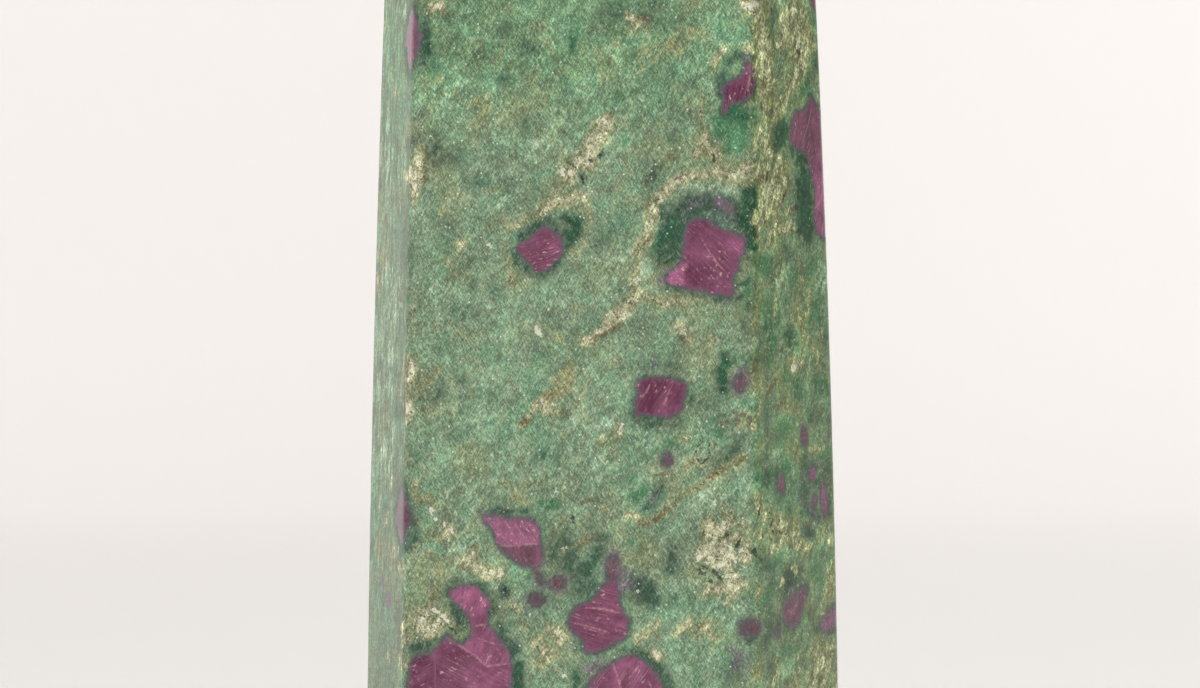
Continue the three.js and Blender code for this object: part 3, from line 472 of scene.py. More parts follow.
        (1, 0.7, [(-3, 68.9, 1.2), (0, 68.4, 1.3), (2.4, 67, 1)]), (1, 0.7, [(12, 70, 1), (8.6, 68.6, 1)]),
        (1, 0.6, [(-12, 72.6, 1.2)]), (1, 0.6, [(4, 60, 0.9), (4.8, 57.6, 0.7)]),
        (1, 0.7, [(6, 53.4, 1.6), (9.5, 52.6, 1.2)]), (5, 0.6, [(9.2, 88.6, 1.2)]),
        (5, 0.5, [(-7, 104, 2)]), (5, 0.5, [(-3, 67, 2.4)]), (5, 0.5, [(5, 112, 2)]),
    ],
    # cream, where the green has been altered
    "cream": [
        (1, 0.85, [(-10, 134, 1.8), (-8, 130.5, 1.6), (-7.5, 126, 1.6)]),
        (1, 0.8, [(-3, 131, 1.3), (0, 134, 1.5), (4, 136, 1.3)]),
        (1, 0.8, [(-10.5, 119, 1.2), (-7, 117, 1.2)]), (1, 0.75, [(4, 128, 1.3), (7, 131.5, 1.3)]),
        (1, 0.7, [(-13.4, 125, 0.5), (-11.6, 127.4, 0.5), (-10.4, 130, 0.4)]),
        (1, 0.6, [(3.4, 133.4, 0.5), (6, 137.6, 0.5)]),
        (1, 0.7, [(-12.6, 116.6, 0.5), (-10.4, 119.4, 0.4)]),
        (1, 0.6, [(8.4, 90.4, 0.4), (10.2, 94.6, 0.3)]),
        (1, 0.8, [(-2, 47.6, 0.8), (-0.6, 50.4, 0.7), (1, 53.4, 0.5)]),
        (1, 0.8, [(7.6, 47.6, 0.9), (9.4, 50.8, 0.8), (11.6, 54, 0.6)]),
        (1, 0.6, [(11.6, 46.6, 0.8), (13, 50, 0.7)]), (1, 0.6, [(10.6, 59.6, 0.4), (12.4, 63, 0.5)]),
        (1, 0.7, [(-6.6, 96.4, 0.4), (-5.2, 99.6, 0.3)]), (1, 0.7, [(4.8, 96.6, 0.4), (6.2, 99.4, 0.3)]),
        (1, 0.6, [(8.6, 57.6, 0.3), (9.4, 61, 0.4), (11.8, 64.6, 0.3)]),
        (1, 0.8, [(4.6, 48.6, 0.8), (6.6, 52.4, 0.6), (8.6, 55, 0.5)]),
        (1, 0.7, [(-8.6, 49.6, 0.5), (-6.6, 53, 0.4)]), (1, 0.6, [(-13, 83, 0.5), (-11.6, 85.4, 0.4)]),
        (0, 0.8, [(-19.3, 135.4, 0.6), (-17.5, 135, 0.6)]),
        (0, 0.9, [(-20.8, 118.2, 0.3), (-20.6, 115.5, 0.5), (-21, 113, 0.6), (-21.3, 110.8, 0.3)]),
        (0, 0.5, [(-17.7, 109.5, 0.5)]), (0, 0.5, [(-15.8, 106, 0.6), (-15, 105, 0.7)]),
        (0, 0.7, [(-9.3, 105.6, 0.35), (-9.6, 104.5, 0.3), (-9.2, 103, 0.4), (-8.8, 101.5, 0.4),
            (-8.6, 100.7, 0.4)]),
        (0, 0.8, [(-8.4, 107.7, 0.2), (-6.5, 108.9, 0.3), (-5.3, 109.7, 0.4), (-4, 110.7, 0.6),
            (-2.5, 110.9, 0.8), (-1, 111.4, 0.7)]),
        (0, 0.6, [(-1.4, 104.2, 0.3), (0.3, 105.5, 0.35), (0.9, 107.5, 0.35), (1.1, 109.8, 0.4)]),
        (0, 0.5, [(-4.3, 111.4, 0.15), (-2.4, 113.3, 0.2)]),
        (0, 1.0, [(-1.6, 113.8, 0.7), (-1.2, 114.9, 0.7), (-0.5, 115.8, 0.9), (0.3, 116.4, 0.9)]),
        (0, 1.0, [(0.8, 115.5, 0.7), (1, 117.6, 0.8), (1.4, 118.4, 0.7), (2.2, 119.5, 1), (3, 120.6, 0.9),
            (3.5, 121.4, 0.5)]),
        (0, 0.6, [(-0.8, 112.4, 0.6), (0.4, 111.4, 0.4)]),
        (0, 0.6, [(6, 134.2, 0.5), (7.2, 132.9, 0.4), (8.4, 132.8, 0.5)]), (0, 0.5, [(5.4, 132, 0.3)]),
        (0, 0.7, [(16.6, 127.4, 0.3), (16.8, 128.6, 0.35), (17.8, 129.8, 0.3)]),
        (0, 0.9, [(15.5, 119.1, 0.4), (15.4, 118.2, 0.6), (16, 117.5, 0.7), (16.9, 116.6, 0.6)]),
        (0, 0.7, [(14.6, 117, 0.4), (14.3, 116.2, 0.3)]), (0, 0.6, [(15.3, 124, 0.3), (15, 121.6, 0.4)]),
        (0, 0.9, [(7.2, 104.3, 0.4), (7.7, 105.4, 0.5), (8.4, 106.8, 0.5), (8.8, 108, 0.6),
            (8.9, 109.5, 0.6), (8.6, 110.7, 0.6)]),
        (0, 1.0, [(9.6, 111.4, 0.5), (10.6, 112.2, 0.6), (11.6, 113.1, 0.6), (12.7, 113.8, 0.5),
            (14.2, 114.1, 0.4), (15.6, 114, 0.3)]),
        (0, 0.8, [(17, 114.6, 0.7), (18.6, 114, 0.8), (20, 114.3, 0.8), (21.5, 115, 0.9)]),
        (0, 0.7, [(20, 113, 0.4), (21, 112.9, 0.5)]),
        (0, 0.7, [(7, 103, 0.3), (6.9, 101.8, 0.3), (6.5, 100.4, 0.4)]),
        (0, 1.0, [(6.9, 99.2, 0.5), (6, 98.1, 0.7), (5.3, 97.1, 0.8), (4.4, 96.1, 0.8), (3.4, 95.3, 0.6),
            (2.4, 94.5, 0.4), (0.8, 93.2, 0.4)]),
        (0, 0.8, [(8.4, 98.8, 0.4), (10.4, 98.1, 0.5), (12, 98.4, 0.5), (13.2, 98.2, 0.3)]),
        (0, 0.9, [(12.2, 95.3, 0.35), (12.9, 94.5, 0.5), (13.4, 93.5, 0.5)]),
        (0, 1.0, [(-22, 91.3, 0.3), (-21.5, 90, 0.5), (-21.8, 88.3, 0.35), (-22, 86.5, 0.4),
            (-21.9, 84.8, 0.5), (-21.9, 83.2, 0.3)]),
        (0, 0.5, [(-16.3, 84, 0.5)]),
        (0, 0.7, [(-4.5, 86, 0.6), (-5.6, 85.2, 0.6), (-4, 84.7, 0.5), (-2.6, 84.4, 0.6)]),
        (0, 0.7, [(-7.3, 82.8, 0.35), (-6.4, 84, 0.5)]), (0, 0.6, [(-1, 85.4, 0.4)]),
        (0, 0.5, [(-13.3, 77.3, 0.5)]), (0, 0.5, [(-9.4, 75.5, 0.5)]),
        (0, 0.6, [(-20.9, 75.4, 0.4), (-20.4, 73.6, 0.5), (-18.8, 73.4, 0.5)]),
        (0, 0.8, [(-17.2, 70.4, 0.6), (-16.4, 69.6, 0.6), (-17.2, 68.7, 0.4)]),
        (0, 0.7, [(-19.5, 66.2, 0.4), (-19, 66.7, 0.3)]), (0, 0.5, [(-8.2, 73.7, 0.6)]),
        (0, 0.95, [(-13.2, 67.2, 0.4), (-13.6, 66.2, 0.7), (-14.5, 65.3, 0.6), (-13.2, 65, 0.7),
            (-12, 64.4, 0.7), (-11.2, 64.2, 0.6)]),
        (0, 0.9, [(-10, 64.2, 0.6)]),
        (0, 1.0, [(-19.6, 59.2, 0.9), (-18.8, 59.7, 0.6), (-20.2, 57.8, 0.9), (-19.4, 56.9, 0.9)]),
        (0, 0.9, [(-18.2, 57.4, 0.7), (-17.5, 58.8, 0.6), (-16.5, 58, 0.4)]),
        (0, 0.6, [(-5.2, 56, 1.1), (-4.4, 54.2, 1.1)]),
        (0, 0.7, [(-2.6, 57.4, 0.7), (-2.4, 56, 0.8), (-4, 57.8, 0.6)]),
        (0, 0.5, [(-8.2, 60.6, 0.5), (-6.8, 57.4, 0.5)]), (0, 0.7, [(4.9, 83.4, 0.3), (4.8, 81.2, 0.4)]),
        (0, 0.5, [(2.6, 80.5, 0.5), (4, 81.5, 0.4)]), (0, 0.6, [(13.3, 81.3, 0.5)]),
        (0, 0.7, [(13.3, 77.4, 0.5), (14.4, 78.6, 0.5), (15.7, 77.6, 0.4)]),
        (0, 0.6, [(0.8, 71.2, 0.25), (2, 72.1, 0.3), (3.3, 72.3, 0.35), (4, 72, 0.3)]),
        (0, 0.6, [(5.6, 71.8, 0.3), (7, 71.5, 0.3)]),
        (0, 0.8, [(7.4, 55.9, 0.3), (8.5, 56.8, 0.35), (9.8, 58, 0.35)]),
        (0, 0.9, [(9.4, 54.6, 0.45), (9.9, 54.1, 0.4)]), (0, 0.5, [(11.5, 73.8, 0.4), (12.6, 74.4, 0.3)]),
        (0, 1.0, [(16.3, 70.5, 0.8), (16.1, 69.2, 0.6), (17.4, 69.2, 0.9), (18.4, 70.6, 0.7),
            (19.2, 71.8, 0.5)]),
        (0, 1.0, [(16.2, 67.4, 0.9), (17.8, 67.9, 1), (18.8, 66.6, 1), (17, 66.1, 0.8), (15.2, 67, 0.5)]),
        (0, 1.0, [(19.6, 68.6, 0.7), (20.8, 68.3, 0.6), (20.6, 66.4, 0.8)]),
        (0, 0.9, [(18.9, 65.1, 0.7), (19.6, 63.9, 0.7), (18.2, 62.6, 0.7), (16.6, 62.2, 0.7)]),
        (0, 0.6, [(18.6, 61, 0.7), (20.6, 63, 0.6)]), (0, 0.6, [(21, 69.6, 0.5), (20.6, 71, 0.4)]),
        (0, 0.9, [(21.2, 135.6, 0.4), (21.6, 134.4, 0.5)]), (0, 0.5, [(12.4, 57.4, 0.6), (16.2, 58, 0.7)]),
        (1, 0.9, [(-13.5, 130, 0.35), (-10.8, 129.8, 0.3)]),
        (1, 0.9, [(-13.6, 135.6, 0.6), (-10, 135.3, 0.6)]), (1, 0.6, [(-9, 133.6, 0.5)]),
        (1, 0.8, [(-7.8, 128.7, 0.5), (-9.4, 128.3, 0.7)]),
        (1, 0.9, [(0, 131.6, 0.7), (2.6, 132, 0.9), (5, 133.4, 0.8), (7.4, 135.3, 0.6)]),
        (1, 0.8, [(2, 130.2, 0.6), (4.5, 131.4, 0.7)]), (1, 0.6, [(9, 132.8, 0.8), (11, 131.6, 0.5)]),
        (1, 1.0, [(-5.2, 121.4, 0.4), (-3.4, 122.8, 0.6), (-1.4, 124, 0.6), (0.6, 125.6, 0.7),
            (2.6, 126.8, 0.8), (5, 128, 0.7), (6.6, 129, 0.5)]),
        (1, 0.8, [(-9.8, 123, 0.7), (-8.6, 122.6, 0.6)]), (1, 0.8, [(-10.4, 124.6, 0.5)]),
        (1, 1.0, [(-12.4, 114.4, 0.9), (-9, 115.2, 0.8), (-6, 115, 0.6), (-3.4, 116.2, 0.8)]),
        (1, 0.9, [(-7.6, 112.6, 1.2), (-5, 111.8, 1), (-2.4, 113.4, 0.9)]),
        (1, 1.0, [(-9, 110.8, 1.5), (-10, 108.6, 0.8)]),
        (1, 0.9, [(-11.8, 108.8, 0.7), (-11.6, 106.8, 0.8)]),
        (1, 0.9, [(-8.2, 105.7, 0.6), (-6.8, 106.8, 0.6), (-4.4, 107.8, 0.7), (-1.6, 107.6, 0.6),
            (0.6, 108, 0.6)]),
        (1, 0.7, [(-5.6, 109.4, 0.6), (-2.6, 109.2, 0.6), (0, 110.2, 0.5)]),
        (1, 0.7, [(2, 97, 0.5), (3, 95.4, 0.6), (3.4, 93.8, 0.5)]),
        (1, 0.6, [(4.2, 100.9, 0.5), (2, 101.6, 0.4)]), (1, 0.9, [(0, 90, 0.7), (2.6, 90.6, 0.6)]),
        (1, 0.7, [(6, 93.2, 0.5), (8.6, 92, 0.5)]), (1, 0.6, [(-7, 88, 0.5)]),
        (1, 0.7, [(4.8, 79, 0.35), (7, 79.5, 0.4), (9, 79.5, 0.4)]),
        (1, 0.7, [(-13, 73, 0.8), (-11, 71.6, 0.8)]), (1, 0.9, [(-7.4, 70.3, 0.7), (-4.6, 70.2, 0.6)]),
        (1, 0.8, [(-4.6, 68.8, 0.8), (-1.4, 68.8, 1), (1.6, 67.4, 0.9), (3.6, 66.6, 0.5)]),
        (1, 0.8, [(-8.6, 67.4, 0.6), (-6.6, 68, 0.6)]), (1, 0.7, [(-5, 63.2, 0.6)]),
        (1, 0.6, [(-1, 64.8, 0.5), (0.6, 63.8, 0.4)]), (1, 0.7, [(11.6, 67.7, 0.6)]),
        (1, 0.7, [(5, 53, 1.2), (8.5, 52, 1)]), (1, 0.6, [(-12, 69, 0.8)]), (1, 0.6, [(3.4, 50.4, 0.9)]),
        (1, 0.6, [(6.8, 54.8, 0.6), (11, 54, 0.6)]), (1, 0.6, [(-12.6, 62, 0.6)]),
        (5, 0.9, [(12.6, 113.3, 0.9), (11.8, 114.6, 0.8)]), (5, 0.6, [(9.5, 114.2, 0.9)]),
        (5, 0.9, [(11.4, 85.6, 0.7), (12.6, 84.6, 0.5)]), (5, 0.6, [(12.2, 90.6, 0.5)]),
        (5, 0.6, [(9, 88, 0.7)]), (5, 0.6, [(0, 70.3, 0.6), (-1.6, 69.6, 0.4)]),
        (5, 0.5, [(-1.6, 82.6, 0.8)]),
        (5, 0.7, [(10.5, 64.6, 0.4), (7.5, 65, 0.5), (5, 65.2, 0.5), (4.5, 67.4, 0.5)]),
        (5, 0.8, [(11.4, 57, 0.9), (12.6, 56, 0.6)]), (5, 0.7, [(9.5, 54, 0.8), (12, 52.6, 0.9)]),
        (5, 0.6, [(1.8, 53, 0.5)]), (5, 0.5, [(-9, 101, 1.2)]), (5, 0.5, [(4, 75, 0.8)]),
        (5, 0.5, [(-1, 125, 0.8)]),
    ],
}
# Small hard-edged marks: face, and places with a half-width along each
marks = {
    # rusty and umber lines and grains in the cream
    "brown": [
        (0, [(-11.8, 123.5, 0.25)]), (0, [(-19.8, 115.4, 0.25), (-19.8, 113.7, 0.3)]),
        (0, [(-11, 98.6, 0.2)]), (0, [(7.3, 133.8, 0.3), (8.3, 133.7, 0.4)]), (0, [(12.6, 130.4, 0.2)]),
        (0, [(-8.9, 101, 0.2), (-8.4, 100.5, 0.15)]), (0, [(2, 118.6, 0.15), (2.8, 119.1, 0.2)]),
        (0, [(15.3, 117.3, 0.2), (15.7, 117, 0.2)]), (0, [(11, 116.3, 0.35), (12, 116, 0.2)]),
        (0, [(9.2, 110.9, 0.3), (9.8, 111.3, 0.25)]), (0, [(12.2, 113.8, 0.2), (12.7, 113.9, 0.15)]),
        (0, [(7.2, 104.5, 0.15), (7.9, 105.5, 0.3), (8.7, 106.4, 0.25)]),
        (0, [(5.1, 95.3, 0.25), (4, 94.7, 0.35), (3, 94.1, 0.35), (1.7, 93.8, 0.3), (1.3, 93.5, 0.15)]),
        (0, [(5.8, 97.8, 0.2), (6.7, 98.8, 0.15)]),
        (0, [(9.3, 98.2, 0.1), (10.8, 97.7, 0.15), (12, 98.8, 0.25)]),
        (0, [(4, 97.2, 0.1), (4.6, 96.4, 0.15)]), (0, [(-20.8, 88, 0.15)]),
        (0, [(-20, 85, 0.25), (-19.8, 84.2, 0.25)]), (0, [(-3.6, 86.9, 0.15), (-4.3, 85.9, 0.2)]),
        (0, [(-7.5, 83.2, 0.25), (-6.6, 83.2, 0.35), (-6, 83.8, 0.3)]), (0, [(-5.4, 83, 0.2)]),
        (0, [(-1.8, 84.7, 0.2), (-1.8, 84, 0.25)]), (0, [(-10.3, 75.8, 0.08), (-9.4, 75.1, 0.1)]),
        (0, [(-7, 75, 0.08), (-6, 75.4, 0.1), (-5.3, 75.6, 0.12)]),
        (0, [(-18.9, 69.6, 0.3), (-18.6, 69, 0.25)]),
        (0, [(-20.8, 67.6, 0.25), (-20, 68, 0.3), (-19.2, 68.2, 0.25)]), (0, [(-17.8, 71.6, 0.15)]),
        (0, [(-15, 64.9, 0.2)]), (0, [(-18.5, 61.2, 0.3), (-17.8, 61.9, 0.15)]),
        (0, [(-1.4, 67.8, 0.2), (-0.6, 67.9, 0.15)]), (0, [(-2.4, 71.3, 0.2)]),
        (0, [(9.4, 76.4, 0.25), (10.6, 76.6, 0.2)]), (0, [(7.7, 70.5, 0.1), (8.6, 70.4, 0.25)]),
        (0, [(9.4, 70.9, 0.2), (10.3, 71.9, 0.3)]), (0, [(9.6, 71.9, 0.1), (10.8, 72.4, 0.25)]),
        (0, [(11.4, 72.6, 0.2), (12, 73, 0.1)]), (0, [(12.5, 73.6, 0.2), (13.2, 74.4, 0.1)]),
        (0, [(13.6, 74.5, 0.15), (14.3, 75, 0.05)]), (0, [(15.2, 75.3, 0.25), (15.6, 75.8, 0.1)]),
        (0, [(16.2, 76.2, 0.15), (17, 76.9, 0.3)]), (0, [(17.6, 77.2, 0.2), (18.8, 77.6, 0.25)]),
        (0, [(19.6, 77.9, 0.1), (20.6, 78.8, 0.25), (21.6, 79.6, 0.2)]),
        (0, [(0.2, 73.1, 0.2), (1.2, 73.4, 0.25), (2.6, 73.6, 0.2)]),
        (0, [(0, 67.8, 0.25), (1.4, 68.6, 0.2), (2.4, 69.5, 0.15)]),
        (0, [(19, 84.3, 0.2), (20.4, 84.2, 0.3), (21.3, 83.9, 0.25), (21.2, 82.9, 0.15)]),
        (0, [(17.8, 83, 0.25), (18.8, 83.4, 0.25)]), (0, [(19.6, 83.5, 0.3)]),
        (0, [(15.8, 71.2, 0.1), (16.8, 71.6, 0.25), (17.8, 71.9, 0.2), (18.7, 72.2, 0.1)]),
        (0, [(15.5, 69.3, 0.2), (15.3, 68.6, 0.15)]), (0, [(17.2, 67.6, 0.25), (17.8, 67.9, 0.2)]),
        (0, [(15.2, 65.4, 0.2), (16.2, 65.2, 0.15)]), (0, [(22, 57.5, 0.4)]),
        (0, [(12, 74, 0.08), (11.8, 74.9, 0.08)]), (0, [(14.9, 120.4, 0.15), (15.2, 122, 0.15)]),
        (0, [(15, 58, 0.12), (14.8, 55.6, 0.12)]), (0, [(8.3, 54.2, 0.12)]),
        (1, [(-9, 125.6, 0.6), (-8.4, 124.9, 0.4)]), (1, [(-2.8, 123.6, 0.25), (-1.9, 123.8, 0.2)]),
        (1, [(-9.4, 122.6, 0.3), (-8.4, 122.4, 0.3)]), (1, [(-10.9, 113.2, 0.35), (-10, 114.2, 0.35)]),
        (1, [(-4.6, 113.9, 0.3), (-3.4, 114.4, 0.3)]),
        (1, [(-3.6, 110.6, 0.4), (-2.4, 111.6, 0.5), (-1, 113, 0.45), (0.6, 113.9, 0.3)]),
        (1, [(-4.6, 109.2, 0.4)]), (1, [(0.3, 110.2, 0.4), (1.2, 110, 0.4)]),
        (1, [(-0.2, 107.6, 0.3), (1, 107.3, 0.3)]), (1, [(-9.3, 108.4, 0.3), (-8.5, 108, 0.2)]),
        (1, [(-7, 106.6, 0.25), (-6, 107.6, 0.2)]), (1, [(-3.4, 107.2, 0.25), (-2.2, 108.2, 0.2)]),
        (1, [(2.4, 134, 0.3), (3.2, 133.2, 0.25)]), (1, [(4.6, 130.4, 0.35)]),
        (1, [(8.6, 134.6, 0.3), (9.4, 133.2, 0.3)]), (1, [(3.6, 126.4, 0.25), (4.4, 127.4, 0.2)]),
        (1, [(-12, 86.5, 0.25), (-10, 86.3, 0.3), (-8, 87.3, 0.3), (-6.6, 88.2, 0.2)]),
        (1, [(-6.6, 85.2, 0.25), (-5, 85.4, 0.3), (-3.4, 86.2, 0.25)]),
        (1, [(-13.5, 89, 0.3), (-12, 92, 0.2)]),
        (1, [(1.4, 89.2, 0.25), (3.4, 90, 0.25), (5, 91.2, 0.25)]),
        (1, [(2.4, 95.6, 0.3), (2.9, 94.6, 0.3)]), (1, [(3.6, 93.3, 0.3)]),
        (1, [(-1.4, 67.6, 0.25), (-1.6, 66.8, 0.2)]), (1, [(-6.8, 69.2, 0.3), (-4.8, 69.2, 0.25)]),
        (1, [(3, 69.8, 0.2), (4.6, 69.9, 0.25), (5.6, 70.2, 0.2)]),
        (1, [(-11.9, 74, 0.4), (-11.6, 73, 0.2)]), (1, [(-13, 70.4, 0.3)]),
        (1, [(6, 68.4, 0.2), (7, 67.2, 0.15)]), (1, [(11.2, 57.3, 0.3), (12.8, 57.8, 0.25)]),
        (1, [(5.6, 59, 0.2), (5, 57.6, 0.2)]), (1, [(4.4, 49.8, 0.3), (5.4, 50, 0.2)]),
        (1, [(1.6, 72.6, 0.2), (2.6, 72.5, 0.15)]), (1, [(3.6, 80.2, 0.2), (5, 80.6, 0.1)]),
        (5, [(11, 90.5, 0.5), (12, 89.6, 0.4)]), (5, [(10, 115.2, 0.3), (8, 115.4, 0.2)]),
        (5, [(9.8, 84.6, 0.3), (12.4, 83.9, 0.2)]), (5, [(10.8, 65.4, 0.3), (8.6, 65.8, 0.2)]),
        (5, [(10.6, 57.6, 0.3)]),
    ],
    # quartz and mica that catch the light
    "white": [
        (0, [(17.6, 65.4, 0.35), (18.2, 65.7, 0.2)]), (0, [(19, 67.6, 0.3)]), (0, [(16.2, 68.3, 0.25)]),
        (0, [(17.9, 70.2, 0.2), (18.6, 70.4, 0.15)]), (0, [(16.4, 66.4, 0.3), (16, 65.8, 0.15)]),
        (0, [(20.3, 67.3, 0.2)]), (0, [(18.8, 62.9, 0.2)]), (0, [(-19.9, 58.4, 0.35)]),
        (0, [(-18.4, 57.6, 0.2)]), (0, [(-18.3, 135.6, 0.15)]), (0, [(-16.1, 135.8, 0.15)]),
        (0, [(-2.4, 114.8, 0.3), (-2.2, 114.3, 0.25)]), (0, [(2.8, 121.1, 0.25), (3, 120.7, 0.15)]),
        (0, [(7, 100.9, 0.35), (7.3, 101, 0.2)]), (0, [(7.5, 100.6, 0.1)]),
        (0, [(-5.6, 95.4, 0.2), (-5.4, 94.8, 0.3), (-5.1, 94.3, 0.3)]), (0, [(-3.9, 97.4, 0.1)]),
        (0, [(-11.6, 105.5, 0.15), (-11.2, 105.3, 0.12)]), (0, [(-13, 129.1, 0.07)]),
        (0, [(-12.4, 112.2, 0.08)]), (0, [(-19.1, 119, 0.1)]), (0, [(-21.2, 112.6, 0.25)]),
        (0, [(-15.6, 87.3, 0.1)]), (0, [(-3.5, 85.4, 0.12)]),
        (0, [(-2.3, 74.8, 0.25), (-1.8, 75.1, 0.15)]), (0, [(-2.9, 74.6, 0.1)]),
        (0, [(-21.4, 90.6, 0.15), (-21.3, 89.6, 0.1)]), (0, [(-21.9, 85.2, 0.3), (-21.8, 84.4, 0.15)]),
        (0, [(-18.8, 72.3, 0.12), (-18.5, 71.2, 0.12), (-18.1, 71, 0.12)]), (0, [(-17, 70.3, 0.3)]),
        (0, [(-16.2, 69.6, 0.2)]), (0, [(-2.1, 67.4, 0.2), (-1.8, 67.4, 0.2)]),
        (0, [(-9.9, 64.7, 0.15), (-10, 63.8, 0.3)]), (0, [(-10.3, 62.6, 0.15)]),
        (0, [(-18.4, 59.6, 0.3), (-17.6, 59, 0.2), (-16.6, 58.2, 0.3)]), (0, [(-19.2, 59, 0.15)]),
        (0, [(-1.9, 51.5, 0.2)]), (0, [(-6.2, 59.2, 0.08)]), (0, [(5.3, 83, 0.15)]),
        (0, [(5.1, 82.3, 0.2), (5.4, 82.1, 0.15)]), (0, [(5.1, 81.8, 0.1)]), (0, [(6, 86.2, 0.08)]),
        (0, [(14.8, 66.3, 0.3), (15, 66.9, 0.15)]), (0, [(15.3, 66.6, 0.1)]),
        (0, [(18.5, 64.1, 0.25), (18.2, 63.8, 0.12)]), (0, [(19.3, 66.4, 0.25), (19.5, 66, 0.2)]),
        (0, [(18.1, 66.8, 0.2)]), (0, [(17.2, 64.3, 0.12)]), (0, [(17, 69.1, 0.12), (17.3, 68.8, 0.12)]),
        (0, [(20.5, 65.2, 0.15)]), (0, [(7.3, 62.1, 0.07)]), (0, [(9.5, 54.5, 0.25), (9.8, 54.1, 0.2)]),
        (0, [(13, 94.6, 0.15), (13.4, 93.8, 0.15)]), (0, [(21.7, 134.6, 0.3), (21.5, 135.4, 0.2)]),
        (0, [(6.2, 133.9, 0.12)]), (0, [(0.6, 115.6, 0.2)]), (0, [(-1.4, 114.4, 0.25)]),
        (1, [(4, 131.5, 0.25), (5, 132.6, 0.25)]), (1, [(6, 130.9, 0.25)]), (1, [(5, 131, 0.15)]),
        (1, [(-12.8, 135.2, 0.4), (-10.6, 135.6, 0.4)]), (1, [(-10, 130.5, 0.2)]),
        (1, [(0.4, 89.9, 0.5), (-0.8, 89.7, 0.3)]), (1, [(2.6, 90.8, 0.25)]), (1, [(-2, 97.6, 0.15)]),
        (1, [(5.8, 70, 0.15)]), (1, [(-5.2, 63.2, 0.2)]), (1, [(5.6, 69.8, 0.2)]), (1, [(9.2, 79.5, 0.2)]),
        (5, [(8.6, 67, 0.5)]), (5, [(12.6, 113, 0.4)]), (5, [(12.4, 84.9, 0.3)]), (5, [(11.4, 56.2, 0.3)]),
        (5, [(0, 133.8, 0.2)]), (5, [(1.6, 52.9, 0.3)]),
    ],
    # cracks and chips, near black: painted shade in their hollows, many of them in the pits
    "black": [
        (0, [(18.4, 69.4, 0.15), (18.9, 69.8, 0.1)]), (0, [(17.4, 66.5, 0.12)]),
        (0, [(16.6, 70.9, 0.12), (17.2, 71.1, 0.08)]), (0, [(19.8, 70.5, 0.12)]), (0, [(10.1, 71.3, 0.1)]),
        (0, [(12.1, 73.4, 0.08)]), (0, [(17.3, 76.9, 0.12)]), (0, [(15.3, 75.6, 0.1)]),
        (0, [(-17.5, 57.9, 0.1)]), (0, [(-10.6, 63.4, 0.15)]), (1, [(-12.5, 71.8, 0.3), (-12, 73, 0.2)]),
        (1, [(-11.4, 69, 0.3)]), (1, [(3.4, 131.8, 0.2), (2.6, 130.6, 0.2)]),
        (1, [(-8.6, 113.6, 0.3), (-8, 114.6, 0.2)]), (1, [(-4.4, 111, 0.25)]), (1, [(-6.6, 110, 0.2)]),
        (0, [(-1.7, 115.8, 0.12), (-0.8, 115.1, 0.15)]), (0, [(-0.1, 114.3, 0.1), (0.2, 113.3, 0.2)]),
        (0, [(1, 116.2, 0.2), (1.3, 115.9, 0.2)]), (0, [(2.3, 116.7, 0.15), (2.6, 117.1, 0.1)]),
        (0, [(4, 120.6, 0.07), (4.4, 120, 0.07)]), (0, [(16.6, 116.7, 0.15), (16.7, 115.9, 0.2)]),
        (0, [(14.4, 116.8, 0.07), (14.1, 116, 0.05)]), (0, [(-0.8, 71.4, 0.25)]), (0, [(-0.9, 70.6, 0.2)]),
        (0, [(-18.7, 59.4, 0.05), (-17.4, 58.5, 0.07), (-16.3, 57.4, 0.15), (-15.6, 56.8, 0.2)]),
        (0, [(15.1, 64.7, 0.3), (15.7, 64.3, 0.2)]), (0, [(15.6, 65.1, 0.15), (16.3, 65, 0.12)]),
        (0, [(16.9, 64.7, 0.3), (17.6, 63.9, 0.25), (18, 63.3, 0.15)]),
        (0, [(16.2, 63.6, 0.15), (16.8, 63.4, 0.12)]), (0, [(19.6, 67.7, 0.2), (20.2, 68.5, 0.2)]),
        (0, [(18.8, 68.8, 0.12)]), (0, [(22, 66.7, 0.25)]), (0, [(15, 82.5, 0.05), (16, 82.6, 0.07)]),
        (0, [(15.5, 80.9, 0.05), (14.7, 80.1, 0.07), (14.5, 78.9, 0.05), (15.3, 78, 0.07), (16.3, 79, 0.05),
            (16.2, 80.6, 0.05)]),
        (0, [(-9.4, 62.2, 0.3)]), (0, [(13.2, 79.4, 0.05), (14, 80, 0.05)]),
        (0, [(17.9, 68.8, 0.1), (18.7, 69.2, 0.07)]), (0, [(21.4, 83.2, 0.1), (21.5, 82.4, 0.07)]),
        (1, [(4, 130.6, 0.35), (5, 130.3, 0.2)]), (1, [(-9.7, 72.2, 0.35)]), (1, [(-11, 70.7, 0.2)]),
        (1, [(-8.8, 70.2, 0.3), (-8, 70.8, 0.3)]), (1, [(-13.4, 67.1, 0.4)]),
        (1, [(-2.8, 123.5, 0.12), (-2.2, 123.7, 0.1)]), (1, [(-5.6, 69.3, 0.15)]),
        (1, [(-5.6, 135.2, 0.3)]), (1, [(-0.6, 107.4, 0.2)]), (1, [(-9.2, 108.2, 0.15)]),
        (1, [(-3, 111.2, 0.15), (-1.6, 112.4, 0.15)]), (5, [(9.9, 66.2, 0.3)]),
    ],
    # healed cracks across the rubies
    "crack": [
        (0, [(-10.3, 67.7, 0.07), (-8.6, 67.7, 0.1), (-7.2, 67.8, 0.07), (-5.8, 68, 0.1),
            (-4.8, 67.9, 0.05)]),
        (0, [(-6.3, 65.1, 0.05), (-5.2, 65.3, 0.06)]),
        (0, [(-16.7, 56.2, 0.06), (-15.3, 55.2, 0.06), (-14.2, 54.6, 0.07), (-13, 53.9, 0.06),
